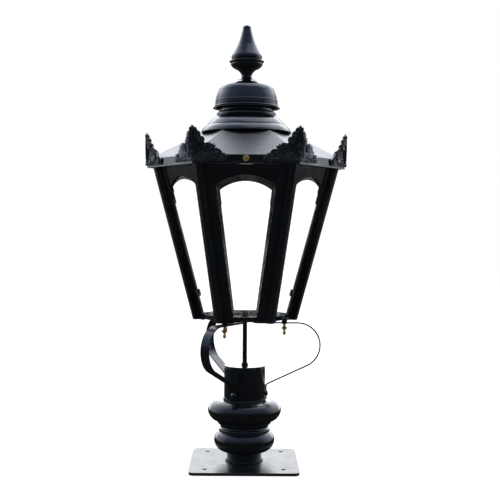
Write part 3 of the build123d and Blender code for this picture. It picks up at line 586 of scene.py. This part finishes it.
def pedestal():
    """Two bulges with a banded cove between them, round the spigot tube."""
    outside = outline(
        (38.4, 0), (45, 0), ((61.5, 11.3), (65.6, 25.2)), ((63.0, 34.4), (57, 42)), (55, 43), (55, 44),
        ((56, 47), (55, 50)), ((51.5, 54), (54.5, 58)), ((57, 60.4), (58.5, 65)), (60, 66),
        ((73.7, 75), (79.7, 89.4)), ((72.2, 105.2), (52, 111)), (38.4, 111), steps=16)
    piece = lathe("pedestal_turning", outside, low("pedestal_casting").z, 160)
    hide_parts("pedestal_casting")
    return give(piece, MAT["cast"], "root")


def spigot_tube():
    """Plain tube, with its weld round the foot."""
    foot = low("base_tube").z
    height = (high("base_tube").z - foot) / MM
    bore_r, skin_r = 34.85, 38.05
    piece = lathe("spigot_tube", [(bore_r, 0), (skin_r, 0), (skin_r, height), (bore_r, height)], foot)
    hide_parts("base_tube")
    give(piece, MAT["sheet"], "root")
    weld_r, bead_r, ripples, bead_z = 39.3 * MM, 1.65 * MM, 118, 1.3 * MM
    weld = weld_ripple("tube_weld", weld_r, bead_r, ripples, foot + bead_z, MAT["cast"])
    return give(weld, MAT["cast"], "root")


def socket():
    """Larger tube that stands on the pedestal, and its flat cap."""
    foot = low("socket_sleeve").z
    height = (high("socket_sleeve").z - foot) / MM
    bore_r, skin_r = 41.25, 44.45
    sleeve = lathe("socket_tube", [(bore_r, 0), (skin_r, 0), (skin_r, height), (bore_r, height)], foot, 144)
    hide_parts("socket_sleeve")
    give(sleeve, MAT["sheet"], "root")
    return give(dressed("socket_cap", 0.3), MAT["sheet"], "root")


# a drop's largest radius in millimetres, and the distance from the lantern's axis to a drop's own
KNOB_WIDEST = 6.5
KNOB_R = high("drop_knobs").x - KNOB_WIDEST * MM


def drop_knobs():
    """Brass drops: collar, waist, onion and ball, three round the frog."""
    piece = lathe("knob", outline(
        (0, 0), ((2.1, 0.9), (3.4, 3.6)), ((3.3, 6.2), (2.2, 7.8)), (2.2, 10.5),
        ((3.6, 12.2), (KNOB_WIDEST, 15)), (KNOB_WIDEST, 16), ((3.6, 18.4), (2.6, 21)), (2.6, 23), (5, 24.5),
        (5, 26), (0, 26)), low("drop_knobs").z, 40, 0.15, centre=(KNOB_R, 0.0))
    knobs = ring_of("brass_drops", piece, ARMS, MAT["brass"])
    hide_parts("drop_knobs")
    return give(knobs, MAT["brass"], "root")


# millimetres: half the spun wall, a roll's radius and how far its centre lies inside the skin
HALF_WALL = 0.75
ROLL_R, ROLL_SUNK = 1.4, 0.45


def spinning(name, node, line, rolls=()):
    """A spun shell of even wall along an open outline, with rolls worked in from inside."""
    outer = rolled(offset_line(line, HALF_WALL), rolls)
    shell = outer + offset_line(line, -HALF_WALL)[::-1]
    piece = lathe(name, shell, low(node).z - min(z for _, z in shell) * MM, 176, 0.0, 40.0)
    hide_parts(node)
    return give(piece, MAT["sheet"], "lid")


def rolled(points, levels):
    """The wall's outline with a round roll standing out of it at each level."""
    half = math.sqrt(ROLL_R**2 - ROLL_SUNK**2)
    steps = 10
    for level in levels:
        below = [p for p in points if p[1] < level - half]
        above = [p for p in points if p[1] > level + half]
        (xa, za), (xb, zb) = below[-1], above[0]
        ring = []
        for k in range(steps + 1):
            z = level - half * math.cos(math.pi * k / steps)
            stand = math.sqrt(ROLL_R**2 - (z - level)**2) - ROLL_SUNK
            ring.append((xa + (xb - xa) * (z - za) / (zb - za) + stand, z))
        points = below + ring + above
    return points


def collar():
    """Spun skirt: two convex bands with a crease between them, a groove and a rounded top."""
    return spinning("collar_spinning", "roof_collar", outline(
        (96.7, 0), ((91.8, 7.6), (85.4, 13.2)), (83.9, 14.0), (83.5, 14.9), ((75.1, 24.6), (65.4, 32.8)),
        ((64.4, 33.9), (63.2, 34.4)), (61.9, 34.9), (63.0, 36.1), ((62.3, 40.8), (58.2, 44)), steps=12))


def dome():
    """Spun dome: flared rim with a roll above it, one bead on the wall and a flat crown."""
    r = 66.65
    line = outline(
        (r + 5.55, 0), (r + 1, 2.2), (r + 0.1, 2.8), ((r - 0.2, 10), (r - 1, 16)),
        ((r - 3.1, 26), (r - 6.6, 35.8)), ((r - 11, 44), (r - 19.4, 50)), ((r - 31.1, 54.8), (20, 58)),
        (5.4, 58), steps=14)
    return spinning("dome_spinning", "dome", line, rolls=(4.2, 16.0))


def finial():
    """Turned finial: foot, cup, sharp disc and a long taper to a rounded tip."""
    points = outline(
        (0, 0), (22.9, 0), (22.9, 0.8), ((15, 4.4), (10.9, 11.1)), ((14.3, 18.2), (24, 25.5)),
        ((30.8, 30), (34.6, 35)), (34.5, 38.2), (37.6, 41.2), (37.6, 42.2), (32, 45.4),
        ((33, 50), (31.4, 56.6)), ((25.1, 67.4), (19.4, 78.3)), ((13.9, 93.4), (9.5, 109.5)), (8.3, 116.6),
        ((4.56, 119.45), (0, 120.46)), steps=14)
    piece = lathe("finial_turning", points, low("finial").z, 128, 0.2, 30.0)
    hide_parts("finial")
    return give(piece, MAT["cast"], "lid")


def thumbscrew():
    """Knurled brass disc with a sunk centre, on its shank."""
    front = low("thumbscrew").y
    axis = (low("thumbscrew").z + high("thumbscrew").z) / 2
    length = (high("thumbscrew").y - front) / MM
    radius, teeth, knurl_from, knurl_depth = 6.2, 44, 5.9, 0.035
    points = outline((0, 2.0), (1.9, 2.0), (2.3, 0.3), (4.6, 0.0), (5.5, 0.15), (radius, 0.8), (radius, 2.6),
                     (5.2, 3.1), (5.1, 4.06), (2.46, 4.06), (2.46, length), (0, length))
    piece = lathe("thumbscrew_turning", points, 0.0, teeth * 4, 0.0)
    for vertex in piece.data.vertices:
        x, y, z = vertex.co
        reach = math.hypot(x, y)
        if reach > knurl_from * MM:
            angle = math.atan2(y, x)
            cut = 1.0 - knurl_depth * (0.5 + 0.5 * math.cos(angle * teeth))
            x, y = x * cut, y * cut
        vertex.co = (x, front + z, axis + y)
    finish_mesh(piece.data, 35.0)
    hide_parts("thumbscrew")
    return give(piece, MAT["brass"], "thumbscrew")


def lamp_and_holder():
    """Opal globe with a threaded cap, in a porcelain holder."""
    cap_z, cap_r, thread_depth = 77, 13.0, 0.55
    glass = lathe("lamp_globe", outline(
        (0, 0), ((21.2, 8.8), (30, 30)), ((20.5, 58), (15.2, 72)), (14.5, cap_z), (0, cap_z), steps=16),
        low("lamp").z, 64, 0.0)
    give(glass, MAT["opal"], "lid")
    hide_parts("lamp")
    thread = [(0, cap_z)]
    for i in range(49):
        thread.append((cap_r + thread_depth * math.sin(i * 0.9), cap_z + i * 0.5))
    thread += [(5, 103.5), (4.6, 104), (0, 104)]
    cap = lathe("lamp_cap", thread, low("lamp").z, 48, 0.0)
    give(cap, MAT["zinc"], "lid")
    height = (high("lampholder").z - low("lampholder").z) / MM
    holder = lathe("lampholder_body", outline(
        (15, 0), (19, 0), (19, 18), (20.5, 19), (20.5, 23), (19, 24), (19, 36), ((17.6, 44), (14, height)),
        (4.1, height), (4.1, height - 9), (4.0, height - 20), (15, height - 20)),
        low("lampholder").z, 64, 0.3)
    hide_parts("lampholder")
    return give(holder, MAT["porcelain"], "lid")


# ---------------------------------------------------------------- corner ears

# millimetres: the wing's reach along the fascia, the leaf's height, how far the carving stands out from the
# fascia and out at the corner, and how far the plate's face lies back behind it
WING = 74.0
TALL = 71.0
RELIEF = 5.6
CORNER_RELIEF = 5.2
PLATE_FACE = 3.0
PLATE_SUNK = 1.7
# each lobe of the leaf: its centre along and up the wing, its radius, the way it leans in degrees and its
# count of fingers, which fan out over FAN_DEG; the lobes centred below SCROLLS_BELOW have a scroll
LOBES = ((2.0, 62.5, 5.0, 86, 3), (9.0, 52.0, 8.6, 46, 4), (14.5, 41.5, 8.8, 26, 4),
         (33.0, 18.5, 19.2, 40, 7), (60.0, 8.5, 9.4, 18, 5))
FAN_DEG = 150
SCROLLS_BELOW = 20.0


def leaflet(bm, lay, root, tip, width, rise, bend, lift, across=4):
    """One carved finger of the leaf: rounded, veined, thin at the root and curled at the tip."""
    along = 9
    (u0, v0), (u1, v1) = root, tip
    du, dv = u1 - u0, v1 - v0
    length = math.hypot(du, dv)
    mid = ((u0 + u1) / 2 - dv / length * bend, (v0 + v1) / 2 + du / length * bend)
    top, under = [], []
    for i in range(along + 1):
        t = i / along
        cu = (1 - t)**2 * u0 + 2 * t * (1 - t) * mid[0] + t * t * u1
        cv = (1 - t)**2 * v0 + 2 * t * (1 - t) * mid[1] + t * t * v1
        tu = 2 * (1 - t) * (mid[0] - u0) + 2 * t * (u1 - mid[0])
        tv = 2 * (1 - t) * (mid[1] - v0) + 2 * t * (v1 - mid[1])
        size = math.hypot(tu, tv)
        nu, nv = -tv / size, tu / size
        half = width / 2 * max(math.sin(math.pi * (0.10 + 0.86 * t**0.85)), 0.06)**0.75
        swell = 0.45 + 0.55 * math.sin(math.pi * (0.12 + 0.72 * t))
        ridge, back = [], []
        for j in range(-across, across + 1):
            s = j / across
            round_top = math.sqrt(max(1.0 - s * s * 0.96, 0.0))
            vein = 0.5 * math.exp(-(s / 0.17)**2)
            w = min(lift + rise * swell * (round_top - vein) + 0.7 * t * t, RELIEF)
            ridge.append(bm.verts.new(lay(cu + nu * half * s, cv + nv * half * s, w)))
            inner = half * s * 0.92
            back.append(bm.verts.new(lay(cu + nu * inner, cv + nv * inner, lift - 0.9)))
        top.append(ridge)
        under.append(back)
    patch(bm, top, under)


def patch(bm, top, under):
    """Closes two matching grids of vertices into one solid."""
    rows, columns = len(top), len(top[0])
    for i in range(rows - 1):
        for j in range(columns - 1):
            bm.faces.new((top[i][j], top[i][j + 1], top[i + 1][j + 1], top[i + 1][j]))
            bm.faces.new((under[i][j], under[i + 1][j], under[i + 1][j + 1], under[i][j + 1]))
        bm.faces.new((top[i][0], top[i + 1][0], under[i + 1][0], under[i][0]))
        bm.faces.new((top[i][-1], under[i][-1], under[i + 1][-1], top[i + 1][-1]))
    for row_top, row_under in ((top[0], under[0]), (top[-1][::-1], under[-1][::-1])):
        for j in range(columns - 1):
            bm.faces.new((row_top[j + 1], row_top[j], row_under[j], row_under[j + 1]))


def wing_fingers(bm, lay, chance):
    """The fingers of one wing, lobe by lobe from the tip of the leaf outward."""
    for u, v, r, lean_deg, fingers in LOBES:
        lean = math.radians(lean_deg)
        for k in (-1, 0, 1):
            stem = (u * 0.30 + 3.2 * k * (u > 12), v * 0.16 + 1.0 - 0.9 * k)
            head = (u + 0.30 * r * k * math.sin(lean), v - 0.30 * r * k * math.cos(lean))
            leaflet(bm, lay, stem, head, r * 0.34, 2.1 + chance.uniform(-0.3, 0.3), 2.4 + 0.8 * k, 2.2, 3)
        for finger in range(fingers):
            k = finger - (fingers - 1) / 2
            way = lean + math.radians(FAN_DEG / fingers * k + chance.uniform(-6, 6))
            reach = r * (1.02 - 0.16 * abs(k) / fingers + chance.uniform(-0.03, 0.03))
            tip = (u + reach * math.cos(way), v + reach * math.sin(way))
            tip = (min(max(tip[0], 0.6), WING - 0.3), min(max(tip[1], 0.4), TALL - 0.3))
            start = (u - 0.45 * r * math.cos(lean), v - 0.45 * r * math.sin(lean))
            leaflet(bm, lay, start, tip, r * chance.uniform(3.3, 3.8) / fingers, chance.uniform(2.3, 3.2),
                    0.9 * k, 2.3 + 0.6 / (1 + abs(k)))
        if v < SCROLLS_BELOW:
            curl(bm, lay, (u - 0.45 * r, v - 0.35 * r), min(r * 0.30, 3.6))
    for k in range(6):
        u = 7 + 11 * k
        leaflet(bm, lay, (u - 5.5, 1.6), (u + 5.5, 4.2 + 1.6 * (k % 2)), 5.0, chance.uniform(1.8, 2.6),
                1.6, 2.4)


def curl(bm, lay, centre, radius):
    """A small drilled scroll: a raised ring round a sunk eye."""
    around, across = 16, 8
    rings = []
    for i in range(around):
        a = math.tau * i / around
        ring = []
        for j in range(across):
            b = math.tau * j / across
            reach = 1 + 0.45 * math.cos(b)
            u = centre[0] + math.cos(a) * radius * reach
            v = centre[1] + math.sin(a) * radius * reach
            ring.append(bm.verts.new(lay(u, v, min(3.7 + 1.7 * math.sin(b), RELIEF))))
        rings.append(ring)
    for i in range(around):
        a, b = rings[i], rings[(i + 1) % around]
        for j in range(across):
            bm.faces.new((a[j], b[j], b[(j + 1) % across], a[(j + 1) % across]))


def ear_carving():
    """Carved leaf over a corner of the fascia: fingers in lobes on both wings and a knotted spine."""
    foot = low("corner_ear_1").z
    apothem = fascia_apothem()
    bm = bmesh.new()
    for side in (-1, 1):
        out = outward(30.0 * side)
        along = sideways(30.0 * side) * -side
        corner = out * apothem - along * apothem * math.tan(math.pi / SIDES)

        def lay(u, v, w, out=out, along=along, corner=corner):
            u = max(u, 0.0)
            stand = min(w, CORNER_RELIEF + u * 0.5)
            return corner + along * u * MM + out * stand * MM + Vector((0, 0, foot + v * MM))

        wing_fingers(bm, lay, random.Random(23 + side))
    spine(bm, high("fascia").x, foot)
    mesh = mesh_from("ear_carving", bm)
    finish_mesh(mesh, 60.0)
    return new_piece("ear", mesh)


def spine(bm, reach, base):
    """Knotted rib down the corner, from a blunt foot to the pointed tip."""
    rings, sides, steps, knots = [], 10, 46, 5.0
    for i in range(steps + 1):
        t = i / steps
        knot = 1.0 + 0.22 * math.sin(t * math.tau * knots)
        r = (3.3 * (1.0 - t)**0.55 + 0.55) * knot * MM
        x = reach + (1.7 - 0.2 * t) * MM - r * 0.25
        z = base + t * (TALL - 0.5) * MM
        rings.append([bm.verts.new((x + r * math.cos(math.tau * k / sides) * 0.75,
                                    r * math.sin(math.tau * k / sides), z)) for k in range(sides)])
    for a, b in zip(rings, rings[1:]):
        for k in range(sides):
            bm.faces.new((a[k], a[(k + 1) % sides], b[(k + 1) % sides], b[k]))
    bm.faces.new(rings[0][::-1])
    bm.faces.new(rings[-1])


def corner_ears():
    """Folded plates, each with its face set back, and the carving on them."""
    apothem = fascia_apothem()
    for i in range(SIDES):
        plate = dressed(f"corner_ear_{i + 1}", 0.6, 50.0)
        for side in (-1, 1):
            out = outward(60.0 * i + 30.0 * side)
            for vertex in plate.data.vertices:
                if vertex.co.dot(out) > apothem + PLATE_FACE * MM:
                    vertex.co -= out * PLATE_SUNK * MM
        give(plate, MAT["carved"], "lid")
    carving = ring_of("ear_carving", ear_carving(), SIDES, MAT["carved"])
    finish_mesh(carving.data, 60.0)
    return give(carving, MAT["carved"], "lid")


# ---------------------------------------------------------------- fasteners


def slotted_head(radius, height, slot):
    """Round screw head, slotted, standing on its seat and facing +Z."""
    profile = outline((0, -0.4), (radius, -0.4), (radius, height * 0.35),
                      ((radius * 0.72, height * 0.86), (0, height)), steps=6)
    piece = lathe("screw_pattern", profile, 0.0, 28, 0.0)
    cutter_mesh = bpy.data.meshes.new("slot_cutter")
    bm = bmesh.new()
    bmesh.ops.create_cube(bm, size=1.0)
    bmesh.ops.scale(bm, vec=(radius * 3 * MM, slot * MM, height * MM), verts=bm.verts)
    bmesh.ops.translate(bm, vec=(0, 0, height * 1.05 * MM), verts=bm.verts)
    bm.to_mesh(cutter_mesh)
    bm.free()
    cutter = new_piece("slot_cutter", cutter_mesh)
    cut = piece.modifiers.new("slot", "BOOLEAN")
    cut.operation = "DIFFERENCE"
    cut.object = cutter
    cut.solver = "EXACT"
    bake_modifiers(piece)
    bpy.data.objects.remove(cutter)
    finish_mesh(piece.data, 35.0)
    return piece


def ear_screw_heads():
    """Two slotted heads on each side of the fascia, low on the wings of the ears."""
    above_foot, along_wing, seat = 5.0, 0.62, 3.8
    up = Vector((0, 0, low("corner_ear_1").z + above_foot * MM))
    apothem = fascia_apothem()
    away = apothem * math.tan(math.pi / SIDES) - WING * along_wing * MM
    spots = []
    for i in range(SIDES):
        out, along = outward(30 + 60 * i), sideways(30 + 60 * i)
        for side in (-1, 1):
            spots.append((out * (apothem + seat * MM) + along * side * away + up, out))
    heads = scattered("ear_screw_heads", spots, slotted_head(2.9, 1.7, 0.7), MAT["dark_zinc"])
    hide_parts("ear_screws")
    return give(heads, MAT["dark_zinc"], "lid")


# ---------------------------------------------------------------- the assembly

# sheet nodes with a finish of their own, by the name before any number
FINISH = {"head_plates": "chamber", "corner_post": "chamber", "roof_shell": "weathered",
          "base_plate": "weathered"}


def main():
    pedestal()
    spigot_tube()
    socket()
    drop_knobs()
    collar()
    dome()
    finial()
    thumbscrew()
    lamp_and_holder()
    corner_ears()
    ear_screw_heads()
    sheet_nodes = {
        "root": ["base_plate", "floor_tray", "head_plates", "top_ring", "latch_tab", "hinge_leaf_body",
                 "centre_conduit", "conduit_nuts", "arm_spacers"]
        + [f"corner_post_{i}" for i in range(1, SIDES + 1)] + [f"frog_arm_{i}" for i in range(1, ARMS + 1)],
        "lid": ["fascia", "roof_shell", "chimney_neck", "hinge_leaf_lid"],
    }
    for body, names in sheet_nodes.items():
        for name in names:
            finish = FINISH.get(name.rstrip("_0123456789"), "sheet")
            smooth_angle = 20.0 if name == "roof_shell" else 32.0
            give(dressed(name, 0.45, smooth_angle), MAT[finish], body)
    give(dressed("arm_bolts", 0.25), MAT["dark_zinc"], "root")
    plain = {
        "zinc": ["pedestal_screws", "stud_nuts", "hinge_pin", "tie_stud", "lamp_bridge", "bridge_screws"],
        "dark_zinc": ["pane_clips", "clip_screws"],
        "brass": ["clamp_nut"],
        "pane": [f"glass_pane_{i}" for i in range(1, SIDES + 1)],
        "rubber": ["lid_seal", "socket_seat_ring"],
        "nylon": ["cable_gland"],
    }
    for finish, names in plain.items():
        for name in names:
            node = NODES[name]
            node.data.materials.clear()
            node.data.materials.append(MAT[finish])


# ---------------------------------------------------------------- floor, light and camera


def empty_material(piece, name):
    """A material with no nodes yet, put on the piece; returns its tree."""
    material = bpy.data.materials.new(name)
    material.use_nodes = True
    material.node_tree.nodes.clear()
    piece.data.materials.append(material)
    return material.node_tree


def mirrored(tree, path):
    """One for a mirrored ray, nought for one that came straight through a pane."""
    through = reckoned(tree, "SUBTRACT", 1.0, path.outputs["Is Transmission Ray"])
    return reckoned(tree, "MULTIPLY", path.outputs["Is Glossy Ray"], through)


def floor():
    """Pale floor: near white to the eye and through a pane, dim in gloss, with the lantern's shadow on it."""
    bm = bmesh.new()
    bmesh.ops.create_grid(bm, x_segments=1, y_segments=1, size=6.0)
    piece = new_piece("floor", mesh_from("floor", bm))
    piece.location.z = -0.0002
    tree = empty_material(piece, "pale_floor")
    out, path, diffuse, lift, dark, add, choose = new_nodes(
        tree, "ShaderNodeOutputMaterial", "ShaderNodeLightPath", "ShaderNodeBsdfDiffuse",
        "ShaderNodeEmission", "ShaderNodeEmission", "ShaderNodeAddShader", "ShaderNodeMixShader")
    diffuse.inputs["Color"].default_value = (0.86, 0.86, 0.86, 1)
    to_eye, to_pane = 0.56, 0.8
    by_eye = reckoned(tree, "MULTIPLY", path.outputs["Is Camera Ray"], to_eye)
    by_pane = reckoned(tree, "MULTIPLY", path.outputs["Is Transmission Ray"], to_pane)
    tree.links.new(reckoned(tree, "MAXIMUM", by_eye, by_pane), lift.inputs["Strength"])
    tree.links.new(diffuse.outputs[0], add.inputs[0])
    tree.links.new(lift.outputs[0], add.inputs[1])
    coord, split = new_nodes(tree, "ShaderNodeTexCoord", "ShaderNodeSeparateXYZ")
    tree.links.new(coord.outputs["Object"], split.inputs["Vector"])
    level = spread(tree, split.outputs["Y"], -0.8, 3.0, 0.02, 0.09)
    tree.links.new(level, dark.inputs["Strength"])
    tree.links.new(mirrored(tree, path), choose.inputs["Fac"])
    tree.links.new(add.outputs[0], choose.inputs[1])
    tree.links.new(dark.outputs[0], choose.inputs[2])
    tree.links.new(choose.outputs[0], out.inputs["Surface"])


# what gloss sees, from the front (0) to the rear (1): near the level, and higher up
MIRROR_PEAK = 4.0
LOW_SKY = ((0.0, (0.020, 0.024, 0.030)), (0.30, (0.06, 0.065, 0.07)), (0.58, (0.70, 0.76, 0.80)),
           (0.75, (1.05, 1.15, 1.22)), (0.90, (0.42, 0.46, 0.50)), (1.0, (0.15, 0.165, 0.18)))
HIGH_SKY = ((0.0, (0.14, 0.19, 0.30)), (0.40, (0.32, 0.43, 0.70)), (0.55, (0.85, 1.0, 1.35)),
            (0.75, (1.6, 1.7, 1.9)), (0.86, (2.3, 2.4, 2.6)), (1.0, (2.9, 3.0, 3.2)))


def surroundings():
    """White all round to the eye; paint and metal mirror a bright sky behind and a dark, bluish front."""
    world = bpy.data.worlds.new("surround")
    bpy.context.scene.world = world
    world.use_nodes = True
    tree = world.node_tree
    tree.nodes.clear()
    out, path = new_nodes(tree, "ShaderNodeOutputWorld", "ShaderNodeLightPath")
    soft, white, clear, mirror = new_nodes(tree, *["ShaderNodeBackground"] * 4)
    pick_mirror, pick_clear, pick_white = new_nodes(tree, *["ShaderNodeMixShader"] * 3)
    soft.inputs["Color"].default_value = (0.95, 0.97, 1.0, 1)
    soft.inputs["Strength"].default_value = 0.70
    white.inputs["Color"].default_value = (1, 1, 1, 1)
    clear.inputs["Color"].default_value = (1, 1, 1, 1)
    clear.inputs["Strength"].default_value = 1.25
    coord, split = new_nodes(tree, "ShaderNodeTexCoord", "ShaderNodeSeparateXYZ")
    tree.links.new(coord.outputs["Generated"], split.inputs["Vector"])
    back = spread(tree, split.outputs["Y"], -1.0, 1.0, 0.0, 1.0)
    up = spread(tree, split.outputs["Z"], 0.22, 0.42, 0.0, 1.0)
    skies = [ramp(tree, back, *((at, tuple(c / MIRROR_PEAK for c in colour)) for at, colour in sky))
             for sky in (LOW_SKY, HIGH_SKY)]
    tree.links.new(mixed(tree, up, *skies), mirror.inputs["Color"])
    mirror.inputs["Strength"].default_value = MIRROR_PEAK
    for ray, pick, rest, chosen in (("Is Glossy Ray", pick_mirror, soft, mirror),
                                    ("Is Transmission Ray", pick_clear, pick_mirror, clear),
                                    ("Is Camera Ray", pick_white, pick_clear, white)):
        tree.links.new(path.outputs[ray], pick.inputs["Fac"])
        tree.links.new(rest.outputs[0], pick.inputs[1])
        tree.links.new(chosen.outputs[0], pick.inputs[2])
    tree.links.new(pick_white.outputs[0], out.inputs["Surface"])


def rear_card():
    """A low white card behind the lantern, seen only in gloss: it whitens the plate and the socket's cap."""
    half_width, foot, top, behind, strength = 1.3, 0.04, 0.62, 1.3, 2.45
    corners = ((-half_width, foot), (half_width, foot), (half_width, top), (-half_width, top))
    bm = bmesh.new()
    bm.faces.new([bm.verts.new((x, behind, z)) for x, z in corners])
    piece = new_piece("rear_card", mesh_from("rear_card", bm))
    tree = empty_material(piece, "card_white")
    out, path, unseen, glow, choose = new_nodes(
        tree, "ShaderNodeOutputMaterial", "ShaderNodeLightPath", "ShaderNodeBsdfTransparent",
        "ShaderNodeEmission", "ShaderNodeMixShader")
    glow.inputs["Color"].default_value = (0.95, 0.97, 1.0, 1)
    glow.inputs["Strength"].default_value = strength
    tree.links.new(mirrored(tree, path), choose.inputs["Fac"])
    tree.links.new(unseen.outputs[0], choose.inputs[1])
    tree.links.new(glow.outputs[0], choose.inputs[2])
    tree.links.new(choose.outputs[0], out.inputs["Surface"])


def softbox(name, place_at, target, size, watts):
    lamp = bpy.data.lights.new(name, "AREA")
    lamp.size = size
    lamp.energy = watts
    box = bpy.data.objects.new(name, lamp)
    bpy.context.scene.collection.objects.link(box)
    box.location = place_at
    box.rotation_euler = (Vector(target) - Vector(place_at)).to_track_quat("-Z", "Y").to_euler()


def camera():
    """The photograph's camera, fitted on the plate, the tubes and the lantern's corners."""
    focal_px, frame_px, sensor_mm = 1002.75, 500, 36.0
    yaw, pitch, roll = (math.radians(a) for a in (0.258, -1.545, 0.399))
    eye = bpy.data.cameras.new("camera")
    eye.sensor_width = sensor_mm
    eye.lens = focal_px / frame_px * sensor_mm
    piece = bpy.data.objects.new("camera", eye)
    bpy.context.scene.collection.objects.link(piece)
    ahead = Vector((math.sin(yaw) * math.cos(pitch), math.cos(yaw) * math.cos(pitch), math.sin(pitch)))
    right = ahead.cross(Vector((0, 0, 1))).normalized()
    up = right.cross(ahead)
    turn = Matrix((right, up, -ahead)).transposed() @ Matrix.Rotation(roll, 3, "Z")
    piece.matrix_world = Matrix.Translation((0, -2.172, 0.5227)) @ turn.to_4x4()
    bpy.context.scene.camera = piece


main()
floor()
rear_card()
surroundings()
softbox("overhead_softbox", (0.5, 0.4, 2.8), target=(0, 0, 0.5), size=2.4, watts=14.0)
camera()
bpy.context.scene.view_settings.view_transform = "Standard"
